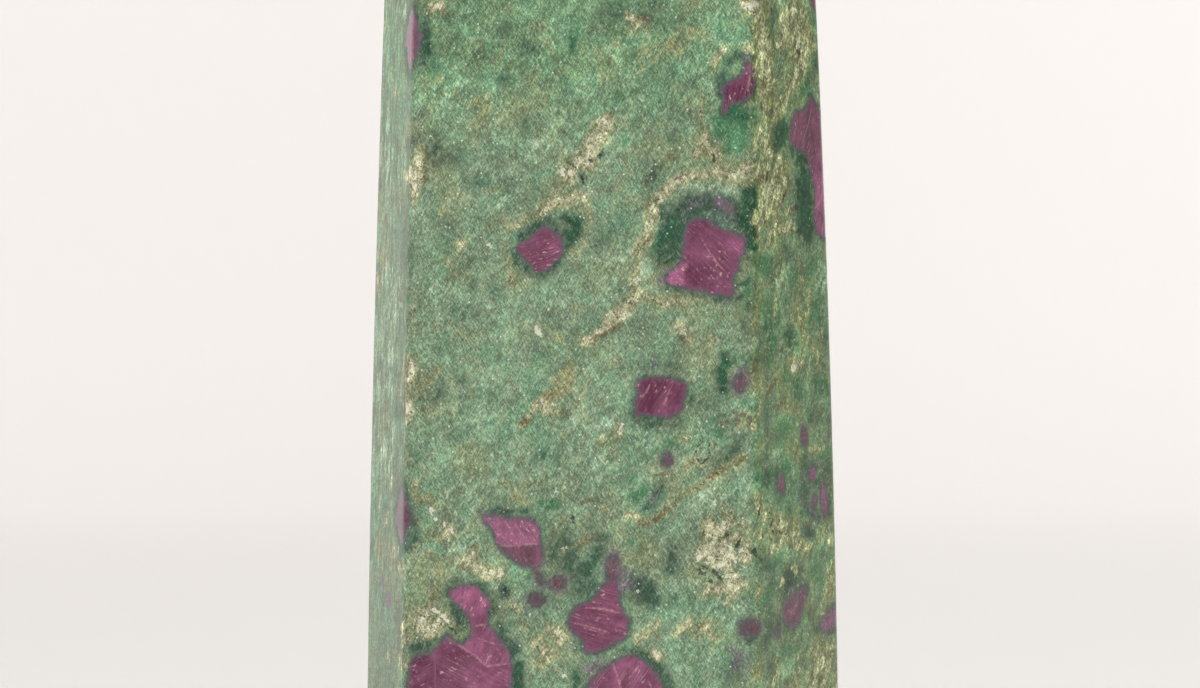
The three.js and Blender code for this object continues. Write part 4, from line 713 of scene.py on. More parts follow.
            (-12.2, 53, 0.08), (-11.6, 52.6, 0.1), (-10.5, 52.8, 0.05), (-8.6, 53, 0.05)]),
        (0, [(-13, 57.6, 0.05), (-12.4, 57.8, 0.07), (-11.5, 57.8, 0.05)]),
        (0, [(8.8, 88, 0.03), (8.4, 87.1, 0.08), (7.9, 86.4, 0.06)]),
        (0, [(0.7, 60, 0.05), (3, 59.9, 0.1), (4.6, 59.5, 0.07), (5.8, 59.3, 0.05)]),
        (0, [(-0.6, 58.1, 0.05), (1.2, 57.7, 0.09), (2.6, 57.2, 0.06), (3.8, 56.9, 0.03)]),
        (0, [(4.3, 53, 0.12), (4.8, 51.6, 0.08), (5.2, 50.2, 0.12), (5.3, 48, 0.08)]),
        (0, [(6.3, 51.2, 0.03), (7.1, 52.2, 0.08), (7.5, 52.8, 0.03)]),
        (0, [(8.9, 50.6, 0.06), (9.2, 49.4, 0.05)]),
        (0, [(15.2, 106, 0.02), (16.8, 103.6, 0.06), (18.6, 101.5, 0.02)]),
        (0, [(3.2, 64.2, 0.04), (4.2, 64.7, 0.06), (5, 64.9, 0.03)]),
        (0, [(21.2, 127.2, 0.05), (21, 125.8, 0.12), (20.9, 124.6, 0.05)]),
        (0, [(-14.4, 62, 0.04), (-14.6, 61.2, 0.07)]), (0, [(-13, 56.2, 0.03), (-10.6, 55.4, 0.04)]),
        (1, [(8.8, 110.4, 0.06), (10.6, 111.4, 0.14), (12.2, 113, 0.1)]),
        (1, [(5, 119, 0.05), (7.4, 121.6, 0.1), (8.6, 123.4, 0.05)]),
        (1, [(11, 107.5, 0.08), (12.8, 110.2, 0.1)]), (1, [(-2.4, 58.6, 0.05), (0.4, 60.4, 0.06)]),
        (0, [(-10.6, 59.2, 0.1), (-10.2, 58.4, 0.1)]),
        (0, [(-8.9, 52.6, 0.04), (-6.6, 52.2, 0.04), (-5.4, 52, 0.02)]),
    ],
}


def lineDistance(at, line):
    # distance to a line of varying half-width, its points given as place and half-width
    nearest = np.full(len(at), 1e9)
    for start, end in list(zip(line, line[1:])) or [(line[0], line[0])]:
        start, end = np.array(start, float), np.array(end, float)
        way, offset = (end - start)[:-1], at - start[:-1]
        t = np.clip(offset @ way / (way @ way + 1e-9), 0, 1)
        away = np.linalg.norm(offset - t[:, None] * way, axis=1)
        nearest = np.minimum(nearest, away - start[-1] - t * (end - start)[-1])
    return nearest


def outlineDistance(u, z, corners):
    # distance to a closed outline, negative inside it
    nearest = lineDistance(np.column_stack([u, z]), [(*corner, 0) for corner in corners + corners[:1]])
    inside = np.zeros(len(u), bool)
    for (u1, z1), (u2, z2) in zip(corners, corners[1:] + corners[:1]):
        crosses = (z1 > z) != (z2 > z)
        inside ^= crosses & (u < u1 + (u2 - u1) * (z - z1) / (z2 - z1 if abs(z2 - z1) > 1e-9 else 1e-9))
    return np.where(inside, -nearest, nearest)


def rounded(corners, cut=0.2):
    # the curve that two rounds of cutting the corners off make
    for _ in range(2):
        sides = zip(corners, corners[1:] + corners[:1])
        corners = [
            (u1 + (u2 - u1) * t, z1 + (z2 - z1) * t) for (u1, z1), (u2, z2) in sides for t in (cut, 1 - cut)]
    return corners


def turned(u, z, degrees):
    lean = math.radians(degrees)
    return u * math.cos(lean) - z * math.sin(lean), u * math.sin(lean) + z * math.cos(lean)


# in mm: how far above, below and behind a mark the mesh is tested for it, from what depth behind its face it
# fades out, at what slope, and the distance given to every place that is farther away
faceMark = {"above": 6, "behind": 8, "fadeFrom": 0.8, "fade": 0.7, "far": 40.0}
stretches = (1, 1.2, 1, 1, 1, 2)  # how much wider a patch is on each face than its half-widths say


def onFaceDistance(frames, face, line, stretch=1):
    u, z, depth, _ = frames[face]
    heights = [point[1] for point in line]
    near = (z > min(heights) - faceMark["above"]) & (z < max(heights) + faceMark["above"])
    near &= depth < faceMark["behind"]
    gap = np.full(len(z), faceMark["far"])
    narrowed = [(a / stretch, b, c) for a, b, c in line]
    gap[near] = lineDistance(np.column_stack([u / stretch, z])[near], narrowed)
    return gap + np.maximum(depth - faceMark["fadeFrom"], 0) * faceMark["fade"]


# open the natural pits, on a finer mesh round them and round the smallest marks
at = np.array([vertex.co for vertex in bm.verts])
faceFrames = [faceFrame(at, face) for face in range(6)]
fine = np.zeros(len(at), bool)
for face, along, up, size, turn in pits:
    u, z, depth, width = faceFrames[face]
    reach = size[1] * pitWall["fineReach"][0] + pitWall["fineReach"][1]
    fine |= (np.abs(depth) < tower["skinDepth"]) & (np.hypot(u - (along - 0.5) * width, z - up) < reach)
for lines in marks.values():
    for face, line in lines:
        fine |= onFaceDistance(faceFrames, face, line) < tower["fineReach"]
bm.verts.ensure_lookup_table()
fine = {bm.verts[i] for i in np.flatnonzero(fine)}
edges = {edge for vertex in fine for edge in vertex.link_edges if edge.other_vert(vertex) in fine}
bmesh.ops.subdivide_edges(bm, edges=list(edges), cuts=2, use_grid_fill=True)
bm.verts.ensure_lookup_table()
at = np.array([vertex.co for vertex in bm.verts])
faceFrames = [faceFrame(at, face) for face in range(6)]
for face, along, up, (wide, tall, deep), turn in pits:
    u, z, depth, width = faceFrames[face]
    across, upwards = turned(u - (along - 0.5) * width, z - up, turn)
    outwards = np.hypot(across / (wide / 2), upwards / (tall / 2))
    sink = deep * np.clip((pitWall["from"] - outwards) / pitWall["over"], 0, 1)
    sink *= np.abs(depth) < tower["skinDepth"]
    ends = footCorners[(face + 1) % 6] - footCorners[face]
    inwards = Vector((-ends[1], ends[0], 0)).normalized()
    for i in np.flatnonzero(sink > 0):
        bm.verts[i].co += inwards * float(sink[i])
bmesh.ops.scale(bm, vec=(mm, mm, mm), verts=bm.verts)
bm.normal_update()
bm.to_mesh(stoneMesh)
bm.free()
for polygon in stoneMesh.polygons:
    polygon.use_smooth = True
stone = bpy.data.objects.new("polishedStone", stoneMesh)
bpy.context.scene.collection.objects.link(stone)
print("  triangles:", sum(len(polygon.vertices) - 2 for polygon in stoneMesh.polygons))

# Each cover is stored as a value that falls from its strength in the middle, through nought at its edge, to
# less than nought. A ruby is stored as the distance to its surface, with its tone, how solid it looks, and
# its grain.
print("placing the crystals and veins")
count = len(at)
crystal = {
    "gap": np.full(count, faceMark["far"]),
    "tone": np.full(count, 0.5),
    "fade": np.ones(count),
    "lines": np.zeros((count, 3)),
}
covers = {kind: np.full(count, -1.0) for kind in patches}
gaps = {kind: np.full(count, faceMark["far"]) for kind in marks}
rim = {"kind": "dark", "strength": 0.9, "startsAt": 0.5}
patchSoftness = (0.3, 0.6)  # in mm, and for each mm of half-width
zoneReach = {"depth": 3, "gap": 1}
grainStep = 7.3  # moves each crystal to its own part of the grain pattern


def addCover(kind, gap, strength, softness):
    np.maximum(covers[kind], strength * np.clip(0.5 - gap / (2 * softness), -1, 1), out=covers[kind])


def addCrystal(gap, tone, fade, lines, seed, rimWidth):
    near = gap < crystal["gap"]
    crystal["gap"][near] = gap[near]
    crystal["tone"][near] = tone
    crystal["fade"][near] = fade
    crystal["lines"][near] = np.column_stack([*lines, np.full(count, seed)])[near]
    addCover(rim["kind"], gap - rimWidth * rim["startsAt"], rim["strength"], rimWidth)


for number, (face, deep, tone, fade, lean, rimWidth, corners) in enumerate(rubies):
    u, z, depth, _ = faceFrames[face]
    gap = np.maximum(outlineDistance(u, z, rounded(corners)), depth - deep)
    addCrystal(gap, tone, fade, turned(u, z, lean), number * grainStep, rimWidth)

for face, tone, lean, corners in zones:
    u, z, depth, _ = faceFrames[face]
    inside = (outlineDistance(u, z, corners) < 0) & (depth < zoneReach["depth"])
    inside &= crystal["gap"] < zoneReach["gap"]
    crystal["tone"][inside] = tone
    crystal["lines"][inside, :2] = np.column_stack(turned(u, z, lean))[inside]

# an ellipsoid would be blunter than these crystals, so their sides are flatter than that
spindleForm = {"power": 1.3, "scale": 1.6, "rim": 0.9}
u, z, depth, width = faceFrames[0]
for centre, reach, tone in spindles:
    ways = zip((u + width / 2, z, depth), centre, reach)
    power = spindleForm["power"]
    away = sum(np.abs((a - b) / c) ** power for a, b, c in ways) ** (1 / power)
    addCrystal((away - 1) * spindleForm["scale"], tone, 1, (u, z), centre[1], spindleForm["rim"])

for kind, lines in patches.items():
    for face, strength, line in lines:
        softness = patchSoftness[0] + patchSoftness[1] * max(point[2] for point in line)
        addCover(kind, onFaceDistance(faceFrames, face, line, stretches[face]), strength, softness)
for kind, lines in marks.items():
    for face, line in lines:
        np.minimum(gaps[kind], onFaceDistance(faceFrames, face, line), out=gaps[kind])

# The rest of the stone has more of the same: rubies as six-sided barrels grown every way, and patches as
# winding threads. Sizes are in mm, and a pair is the range that a random value comes from.
scatter = {
    "seed": 11,
    # the heights between which the front and its two neighbours are placed one by one, and how far off to
    # stay
    "shown": (47.0, 138.0),
    "clear": 2.5,
    "spotTries": 200,
    # a crystal's size is the least, and up to so much more, with a power that makes small ones common
    "rubies": 96,
    "rubyTries": 4,
    "rubySize": (1.1, 5.2, 2.2),
    "apart": 1.5,
    # in shares of that size, but for the taper, which is in shares of its length
    "offCentre": 0.25,
    "rubyLength": (0.8, 1.6),
    "rubyWidth": (0.7, 1.25),
    "taper": 0.3,
    "rubyTone": (0.25, 0.8),
    "rubyGrains": 50,
    # the small ones look faint, and the dark rim is wider round a large one
    "faint": {"upTo": 1.6, "fade": 0.8},
    "rimWidth": {"least": 0.8, "more": (0.1, 0.3)},
    # for each kind how many, how strong and their half-width
    "threads": {
        "olive": (60, 0.7, 1.4), "mint": (50, 0.7, 1.5), "emerald": (80, 0.8, 1.5), "dark": (70, 0.7, 1.2),
        "deep": (30, 0.8, 1.0), "cream": (70, 1.0, 1.0), "margin": (16, 0.6, 0.8), "teal": (16, 0.7, 0.8),
    },
}
thread = {
    # its half-width and strength, in shares of its kind's
    "half": (0.4, 1.2),
    "strength": (0.6, 1.1),
    # how many points it has, fewer than the second number, and how much it bends at each
    "points": (2, 6),
    "bend": 0.5,
    # how thick it is at a point and how far it goes to the next, in shares of its half-width
    "swell": (0.5, 1.2),
    "step": (1.0, 1.8),
    # the room it needs and how soft its edge is: some mm, and more for each mm of its half-width
    "room": (2, 3),
    "softness": (0.3, 0.45),
    # the share of cream ones with a hard vein, the share of veins that are white, their half-width and points
    "veined": 0.7,
    "whiteVeins": 0.3,
    "veinHalf": (0.05, 0.3),
    "veinPoints": (1, 4),
}
rng = np.random.default_rng(scatter["seed"])
low, high = scatter["shown"]
shown = np.min([np.abs(faceFrames[face][2]) for face in (0, 1, 5)], axis=0)


def hiddenSpot(size):
    # a random place on the stone, so far from the part placed one by one that something of this size fits
    for _ in range(scatter["spotTries"]):
        i = rng.integers(count)
        if not (shown[i] < size + scatter["clear"] and low - size < at[i, 2] < high + size):
            return at[i]


def direction():
    way = rng.normal(size=3)
    return way / np.linalg.norm(way)


spots = []
smallest, spread, power = scatter["rubySize"]
for _ in range(scatter["rubies"] * scatter["rubyTries"]):
    size = smallest + spread * rng.random() ** power
    spot = hiddenSpot(size)
    clear = all(np.linalg.norm(spot - other) > size + reach + scatter["apart"] for other, reach in spots)
    if len(spots) < scatter["rubies"] and clear:
        spots.append((spot, size))
for spot, size in spots:
    axis = direction()
    side = np.cross(axis, rng.normal(size=3))
    side /= np.linalg.norm(side)
    third = np.cross(axis, side)
    offset = at - spot + rng.normal(size=3) * size * scatter["offCentre"]
    along, a, b = offset @ axis, offset @ side, offset @ third
    gap = np.abs(along) - size * rng.uniform(*scatter["rubyLength"])
    for k in range(6):
        turn = math.pi * k / 3
        wide = size * rng.uniform(*scatter["rubyWidth"])
        outwards = a * math.cos(turn) + b * math.sin(turn)
        gap = np.maximum(gap, outwards + scatter["taper"] * np.abs(along) - wide)
    tone, seed = rng.uniform(*scatter["rubyTone"]), rng.random() * scatter["rubyGrains"]
    fade = 1 if size > scatter["faint"]["upTo"] else scatter["faint"]["fade"]
    rimWidth = scatter["rimWidth"]["least"] + size * rng.uniform(*scatter["rimWidth"]["more"])
    addCrystal(gap, tone, fade, (a, along), seed, rimWidth)
for kind, (number, strength, girth) in scatter["threads"].items():
    for _ in range(number):
        half = girth * rng.uniform(*thread["half"])
        room = thread["room"][0] + thread["room"][1] * half
        place, way, line = hiddenSpot(room), rng.normal(size=3), []
        for _ in range(rng.integers(*thread["points"])):
            line.append((*place, half * rng.uniform(*thread["swell"])))
            way = way / np.linalg.norm(way) + rng.normal(size=3) * thread["bend"]
            place = place + way * half * rng.uniform(*thread["step"])
        gap = lineDistance(at, line)
        softness = thread["softness"][0] + thread["softness"][1] * half
        addCover(kind, gap, strength * rng.uniform(*thread["strength"]), softness)
        if kind == "cream" and rng.random() < thread["veined"]:
            kept = line[: rng.integers(*thread["veinPoints"])]
            thin = [(*point[:3], rng.uniform(*thread["veinHalf"])) for point in kept]
            mark = "white" if rng.random() < thread["whiteVeins"] else "brown"
            np.minimum(gaps[mark], lineDistance(at, thin), out=gaps[mark])

# longer veins are wavy sheets, which the surface cuts as lines, cream with olive sides and a brown middle
seams = {
    "count": 30,
    "room": 6,
    "reach": (8.0, 26.0),
    "half": (0.3, 1.0),
    # each wave's height and how long it is
    "waves": ((1.6, 5), (0.8, 2.2)),
    # how much of its half-width a seam swells and thins by, and over what length
    "swelling": (0.8, 3),
    # how fast it thins out past its reach, and near the part placed one by one
    "endSlope": 0.4,
    "clearSlope": 2,
    "cream": {"strength": (0.8, 1.1), "softness": 0.6},
    "olive": {"wider": 0.6, "strength": 0.6, "softness": 1.0},
    # where its brown middle starts, in half-widths from its edge
    "brownStarts": 1.1,
}
hidden = np.maximum(shown, np.maximum(low - at[:, 2], at[:, 2] - high))


def swell(offset, length):
    return np.sin(offset @ rng.normal(size=3) / length)


for _ in range(seams["count"]):
    spot, reach = hiddenSpot(seams["room"]), rng.uniform(*seams["reach"])
    half = rng.uniform(*seams["half"])
    axis = direction()
    offset = at - spot
    wave = sum(tall * swell(offset, length) for tall, length in seams["waves"])
    share, length = seams["swelling"]
    gap = np.abs(offset @ axis + wave) - half * (1 + share * swell(offset, length))
    gap = np.maximum(gap, (np.linalg.norm(offset, axis=1) - reach) * seams["endSlope"])
    gap += seams["clearSlope"] * np.clip(scatter["clear"] - hidden, 0, None)
    addCover("cream", gap, rng.uniform(*seams["cream"]["strength"]), seams["cream"]["softness"])
    addCover("olive", gap - seams["olive"]["wider"], seams["olive"]["strength"], seams["olive"]["softness"])
    np.minimum(gaps["brown"], gap + half * seams["brownStarts"], out=gaps["brown"])


def addField(name, *columns):
    attribute = stoneMesh.attributes.new(name, "FLOAT_VECTOR", "POINT")
    attribute.data.foreach_set("vector", np.column_stack(columns).astype(np.float32).ravel())


# how far each place is on the right or the left, where the mica shows as fibres down to this depth in mm
fibreDepth = 0.5
sides = [np.clip(1 - faceFrames[face][2] / fibreDepth, 0, 1) for face in (1, 5)]
addField("sides", *sides, np.zeros(count))
fieldParts = {
    "darks": ("dark", "deep", "margin"),
    "greens": ("emerald", "teal", "mint"),
    "earths": ("olive", "cream", "brown"),
    "marks": ("white", "black", "crack"),
}
addField("ruby", crystal["gap"], crystal["tone"], crystal["fade"])
addField("rubyLines", *crystal["lines"].T)
for name, kinds in fieldParts.items():
    addField(name, *[covers[kind] if kind in covers else gaps[kind] for kind in kinds])


def linear(colour):
    # an sRGB hex colour as the linear values that nodes take
    parts = [int(colour[i : i + 2], 16) / 255 for i in (1, 3, 5)]
    return (*[c / 12.92 if c <= 0.04045 else ((c + 0.055) / 1.055) ** 2.4 for c in parts], 1)


def addNode(tree, kind, settings=None, inputs=None):
    node = tree.nodes.new(kind)
    for name, value in (settings or {}).items():
        setattr(node, name, value)
    for name, value in (inputs or {}).items():
        if isinstance(value, bpy.types.NodeSocket):
            tree.links.new(value, node.inputs[name])
        else:
            node.inputs[name].default_value = value
    return node


def newMaterial(name):
    material = bpy.data.materials.new(name)
    material.use_nodes = True
    material.node_tree.nodes.clear()
    return material, material.node_tree


# Ruby crystals in fuchsite, a green chromium mica, sawn and polished: a mat of small mica flakes with a soft,
# slightly greasy shine, and harder, glassier plum-red crystals in dark green rims
print("polishing the stone")
fuchsite = {
    # colours of the green ground, from bluish to brownish, and of its pale flakes
    "ground": "#6f856b", "jade": "#5f8a6b", "olive": "#7c7d58", "flake": "#b4b9a4", "leaf": "#4f7f50",
    # higher up, between these heights in mm, the stone is greener by a share, and its contrast is stronger
    "leafFrom": (116, 128), "leafShare": 0.4, "leafContrast": 0.12,
    # cut across its layers, the mica looks deeper, and the right side is also tinted as painted shade, for
    # the weaker pale reflection it takes
    "rightShadeTint": "#f6ffe8",
    # the patches in it, and the smallest marks with their strength and how ragged they are
    "emerald": "#2a603e", "mint": "#93ab90", "teal": "#40524f", "margin": "#645c63", "dark": "#284234",
    "deep": "#12412a", "khaki": "#81835f", "cream": "#a5a68a", "brown": "#5b4c32", "grit": "#3f3a2b",
    # glint is a painted highlight: pale dots where mica flakes would catch the light
    "white": "#dcd8c8", "black": "#1f261f", "crack": "#b58c88", "glint": "#eef0e2", "speck": "#24342a",
    "gritStrength": 0.7,
    "markStrength": {"brown": (0.7, 2.2), "white": (0.65, 2.2), "black": (0.85, 1.1), "crack": (0.6, 0.5)},
    # ruby from dark to light, its fine growth lines, its flecks and its greyed margin
    "rubyDeep": "#501f38", "rubyMiddle": "#6f3f57", "rubyLight": "#9a587c", "rubyScratch": "#bd929d",
    "rubyFleck": "#c89ba3", "rubyMargin": "#594f5b",
    # sizes in mm: mica flakes, their clumps, clouds and marbling of colour, grains, and fibres and streaks
    "flakeWide": 0.18, "flakeDeep": 0.75, "flakeLong": 0.75, "clump": 2.4, "cloud": 8.0, "marble": 1.8,
    "grain": 0.16, "glintSize": 0.5, "crumb": 0.4, "edgeGrain": 0.9,
    "fibre": (1.2, 1.1, 3.4), "flow": (1.3, 2.0, 5.0),
    # how much the layers are squeezed along each axis, and how strong the lights and darks are, as a factor
    "layers": (1.0, 0.6, 0.9), "contrast": 8.0,
    # the polish: glassy on the ruby, duller on the mica and dullest on its highest flakes
    "rubyRoughness": 0.22, "flakeRoughness": 0.35, "bump": (0.2, 0.03),
}
# waves to a millimetre of the ruby's patterns across and along its growth, and how far they differ by crystal
rubyScales = {
    "growth": (4.5, 0.16, 1.0),
    "cloud": (0.36, 0.22, 1.0),
    "scratch": (9.0, 0.35, 3.0),
    "fleck": (2.9, 1.5, 2.0),
}
rubyFuchsite, tree = newMaterial("polishedRubyInFuchsite")
position = addNode(tree, "ShaderNodeTexCoord").outputs["Object"]
inMm = addNode(tree, "ShaderNodeVectorMath", {"operation": "SCALE"}, {
    0: position, "Scale": 1 / mm}).outputs[0]
field = {}
for name, parts in {"ruby": ("gap", "tone", "fade"), "sides": ("right", "left"), **fieldParts}.items():
    values = addNode(tree, "ShaderNodeAttribute", {"attribute_name": name}).outputs["Vector"]
    values = addNode(tree, "ShaderNodeSeparateXYZ", inputs={0: values}).outputs
    field.update(zip(parts, values))

# the mica's layers run with the front, so the front shows mats of flakes and the sides thin streaks
layered = addNode(
    tree, "ShaderNodeVectorMath", {"operation": "MULTIPLY"}, {0: inMm, 1: fuchsite["layers"]}).outputs[0]
flakeSize = (fuchsite["flakeWide"], fuchsite["flakeDeep"], fuchsite["flakeLong"])
flakes = []
for lean, across in ((26, 4), (-31, -5)):
    turn = (0, math.radians(lean), math.radians(across))
    leaning = addNode(
        tree, "ShaderNodeMapping", {"vector_type": "TEXTURE"},
        {"Vector": inMm, "Rotation": turn, "Scale": flakeSize}).outputs[0]
    flakes.append(addNode(tree, "ShaderNodeTexNoise", inputs={
        "Vector": leaning, "Scale": 1.0, "Detail": 1.5, "Roughness": 0.6}).outputs[0])
highest = addNode(tree, "ShaderNodeMath", {"operation": "MAXIMUM"}, {0: flakes[0], 1: flakes[1]}).outputs[0]
lowest = addNode(tree, "ShaderNodeMath", {"operation": "MINIMUM"}, {0: flakes[0], 1: flakes[1]}).outputs[0]
clump = addNode(tree, "ShaderNodeTexNoise", inputs={
    "Vector": layered, "Scale": 1 / fuchsite["clump"], "Detail": 4.0, "Roughness": 0.8, "Distortion": 0.4})
cloud = addNode(tree, "ShaderNodeTexNoise", inputs={
    "Vector": layered, "Scale": 1 / fuchsite["cloud"], "Detail": 2.0, "Roughness": 0.55})
clumpParts = addNode(tree, "ShaderNodeSeparateColor", inputs={0: clump.outputs["Color"]}).outputs
cloudParts = addNode(tree, "ShaderNodeSeparateColor", inputs={0: cloud.outputs["Color"]}).outputs

# on the front the mat flows up to the right in faint streaks
flowing = addNode(
    tree, "ShaderNodeMapping", {"vector_type": "TEXTURE"},
    {"Vector": inMm, "Rotation": (0, math.radians(44), 0), "Scale": fuchsite["flow"]}).outputs[0]
flow = addNode(tree, "ShaderNodeTexNoise", inputs={
    "Vector": flowing, "Scale": 1.0, "Detail": 2.0, "Roughness": 0.6, "Distortion": 0.5}).outputs[0]
marble = addNode(tree, "ShaderNodeTexNoise", inputs={
    "Vector": layered, "Scale": 1 / fuchsite["marble"], "Detail": 3.5, "Roughness": 0.6,
    "Distortion": 1.5}).outputs[0]
tint = addNode(tree, "ShaderNodeTexNoise", inputs={
    "Vector": layered, "Scale": 1 / fuchsite["clump"], "Detail": 2.5, "Roughness": 0.65, "Distortion": 0.8})
tintParts = addNode(tree, "ShaderNodeSeparateColor", inputs={0: tint.outputs["Color"]}).outputs

# on the sides its layers are cut across and show as long fibres
fibres = []
for side, lean, rough in (("right", -42, 0.82), ("left", 4, 0.62)):
    leaning = addNode(
        tree, "ShaderNodeMapping", {"vector_type": "TEXTURE"},
        {"Vector": inMm, "Rotation": (math.radians(lean), 0, 0), "Scale": fuchsite["fibre"]}).outputs[0]
    fibre = addNode(tree, "ShaderNodeTexNoise", inputs={
        "Vector": leaning, "Scale": 1.0, "Detail": 3.0, "Roughness": rough}).outputs[0]
    fibre = addNode(tree, "ShaderNodeMath", {"operation": "SUBTRACT"}, {0: fibre, 1: 0.5}).outputs[0]
    fibres.append(addNode(tree, "ShaderNodeMath", {"operation": "MULTIPLY"}, {
        0: fibre, 1: field[side]}).outputs[0])
fibre = addNode(tree, "ShaderNodeMath", {"operation": "ADD"}, {0: fibres[0], 1: fibres[1]}).outputs[0]
grain = addNode(tree, "ShaderNodeTexVoronoi", inputs={
    "Vector": layered, "Scale": 1 / fuchsite["grain"]}).outputs["Color"]
grain = addNode(tree, "ShaderNodeSeparateColor", inputs={0: grain}).outputs[0]

# light and dark: the sum of the patterns, around nought
light = addNode(tree, "ShaderNodeMath", {"operation": "MULTIPLY"}, {0: fibre, 1: 1.3}).outputs[0]
for pattern, weight in (
    (clump.outputs[0], 0.75),
    (marble, 0.4),
    (cloud.outputs[0], 0.45),
    (highest, 0.78),
    (lowest, 0.78),
    (grain, 0.28),
    (flow, 0.5),
):
    part = addNode(tree, "ShaderNodeMath", {"operation": "MULTIPLY_ADD"}, {
        0: pattern, 1: weight, 2: -0.5 * weight}).outputs[0]
    light = addNode(tree, "ShaderNodeMath", {"operation": "ADD"}, {0: light, 1: part}).outputs[0]
height = addNode(tree, "ShaderNodeSeparateXYZ", inputs={0: inMm}).outputs[2]
leafy = addNode(tree, "ShaderNodeMapRange", inputs={
    0: height, 1: fuchsite["leafFrom"][0], 2: fuchsite["leafFrom"][1], 3: 0.0, 4: 1.0}).outputs[0]
grainy = addNode(tree, "ShaderNodeMath", {"operation": "MULTIPLY_ADD"}, {
    0: leafy, 1: fuchsite["leafContrast"], 2: 1.0}).outputs[0]
light = addNode(tree, "ShaderNodeMath", {"operation": "MULTIPLY"}, {0: light, 1: grainy}).outputs[0]
lightFactor = addNode(tree, "ShaderNodeMath", {"operation": "POWER"}, {
    0: fuchsite["contrast"], 1: light}).outputs[0]

# hue of the ground, then the patches, each broken up at its edges by the clumps and flakes
leafy = addNode(tree, "ShaderNodeMath", {"operation": "MULTIPLY"}, {
    0: leafy, 1: fuchsite["leafShare"]}).outputs[0]
notRight = addNode(tree, "ShaderNodeMath", {"operation": "SUBTRACT"}, {0: 1.0, 1: field["right"]}).outputs[0]
leafy = addNode(tree, "ShaderNodeMath", {"operation": "MULTIPLY"}, {0: leafy, 1: notRight}).outputs[0]
colour = addNode(tree, "ShaderNodeMix", {"data_type": "RGBA"}, {
    0: leafy, 6: linear(fuchsite["ground"]), 7: linear(fuchsite["leaf"])}).outputs[2]
for pattern, low, high, share, paint in (
    (tintParts[1], 0.50, 0.68, 0.46, "olive"),
    (tintParts[2], 0.50, 0.66, 0.54, "jade"),
    (cloudParts[1], 0.50, 0.66, 0.5, "jade"),
    (cloudParts[2], 0.52, 0.70, 0.5, "olive"),
):
    part = addNode(tree, "ShaderNodeMapRange", inputs={
        0: pattern, 1: low, 2: high, 3: 0.0, 4: share}).outputs[0]
    colour = addNode(tree, "ShaderNodeMix", {"data_type": "RGBA"}, {
        0: part, 6: colour, 7: linear(fuchsite[paint])}).outputs[2]
ragged = marble
for pattern, weight in ((clumpParts[0], 0.5), (highest, 0.35), (fibre, 1.0), (flow, 0.7)):
    ragged = addNode(tree, "ShaderNodeMath", {"operation": "MULTIPLY_ADD"}, {
        0: pattern, 1: weight, 2: ragged}).outputs[0]
ragged = addNode(tree, "ShaderNodeMath", {"operation": "ADD"}, {0: ragged, 1: -1.3}).outputs[0]
for cover, paint, broken, low, high, share in (
    ("olive", "olive", 1.4, 0.25, 0.65, 0.85),
    ("mint", "mint", 1.4, 0.3, 0.7, 0.75),
    ("emerald", "emerald", 1.4, 0.3, 0.75, 0.8),
    ("teal", "teal", 1.0, 0.2, 0.65, 0.9),
    ("dark", "dark", 1.5, 0.12, 0.68, 0.92),
    ("deep", "deep", 1.4, 0.15, 0.75, 0.95),
    ("margin", "margin", 1.0, 0.2, 0.7, 0.9),
    ("cream", "khaki", 1.2, 0.1, 0.55, 0.9),
    ("cream", "cream", 1.5, 0.42, 0.88, 0.92),
):
    spread = addNode(tree, "ShaderNodeMath", {"operation": "MULTIPLY_ADD"}, {
        0: ragged, 1: broken, 2: field[cover]}).outputs[0]
    spread = addNode(tree, "ShaderNodeMapRange", inputs={
        0: spread, 1: low, 2: high, 3: 0.0, 4: share}).outputs[0]
    colour = addNode(tree, "ShaderNodeMix", {"data_type": "RGBA"}, {
        0: spread, 6: colour, 7: linear(fuchsite[paint])}).outputs[2]
colour = addNode(tree, "ShaderNodeVectorMath", {"operation": "SCALE"}, {
    0: colour, "Scale": lightFactor}).outputs[0]
# painted shade: the right side is multiplied by a faint yellow-green tint
colour = addNode(tree, "ShaderNodeMix", {"data_type": "RGBA", "blend_type": "MULTIPLY"}, {
    0: field["right"], 6: colour, 7: linear(fuchsite["rightShadeTint"])}).outputs[2]

# the palest flakes lie flat in the polish; a few are painted as glints, painted highlights where they would
# catch the light; dark specks between them
quiet = addNode(tree, "ShaderNodeMapRange", inputs={
    0: field["dark"], 1: 0.2, 2: 0.8, 3: 1.0, 4: 0.7}).outputs[0]
glint = addNode(tree, "ShaderNodeTexVoronoi", inputs={"Vector": inMm, "Scale": 1 / fuchsite["glintSize"]})
glintPick = addNode(tree, "ShaderNodeSeparateColor", inputs={0: glint.outputs["Color"]}).outputs
near = addNode(tree, "ShaderNodeMapRange", inputs={
    0: glint.outputs["Distance"], 1: 0.3, 2: 0.12, 3: 0.0, 4: 1.0}).outputs[0]
for pattern, low, high, paint, strength, where in (
    (highest, 0.62, 0.80, "flake", 0.45, quiet),
    (glintPick[0], 0.9, 0.98, "glint", 0.6, near),
    (glintPick[1], 0.9, 0.98, "speck", 0.5, near),
):
    part = addNode(tree, "ShaderNodeMapRange", inputs={
        0: pattern, 1: low, 2: high, 3: 0.0, 4: strength}).outputs[0]
    part = addNode(tree, "ShaderNodeMath", {"operation": "MULTIPLY"}, {0: part, 1: where}).outputs[0]
    colour = addNode(tree, "ShaderNodeMix", {"data_type": "RGBA"}, {
        0: part, 6: colour, 7: linear(fuchsite[paint])}).outputs[2]

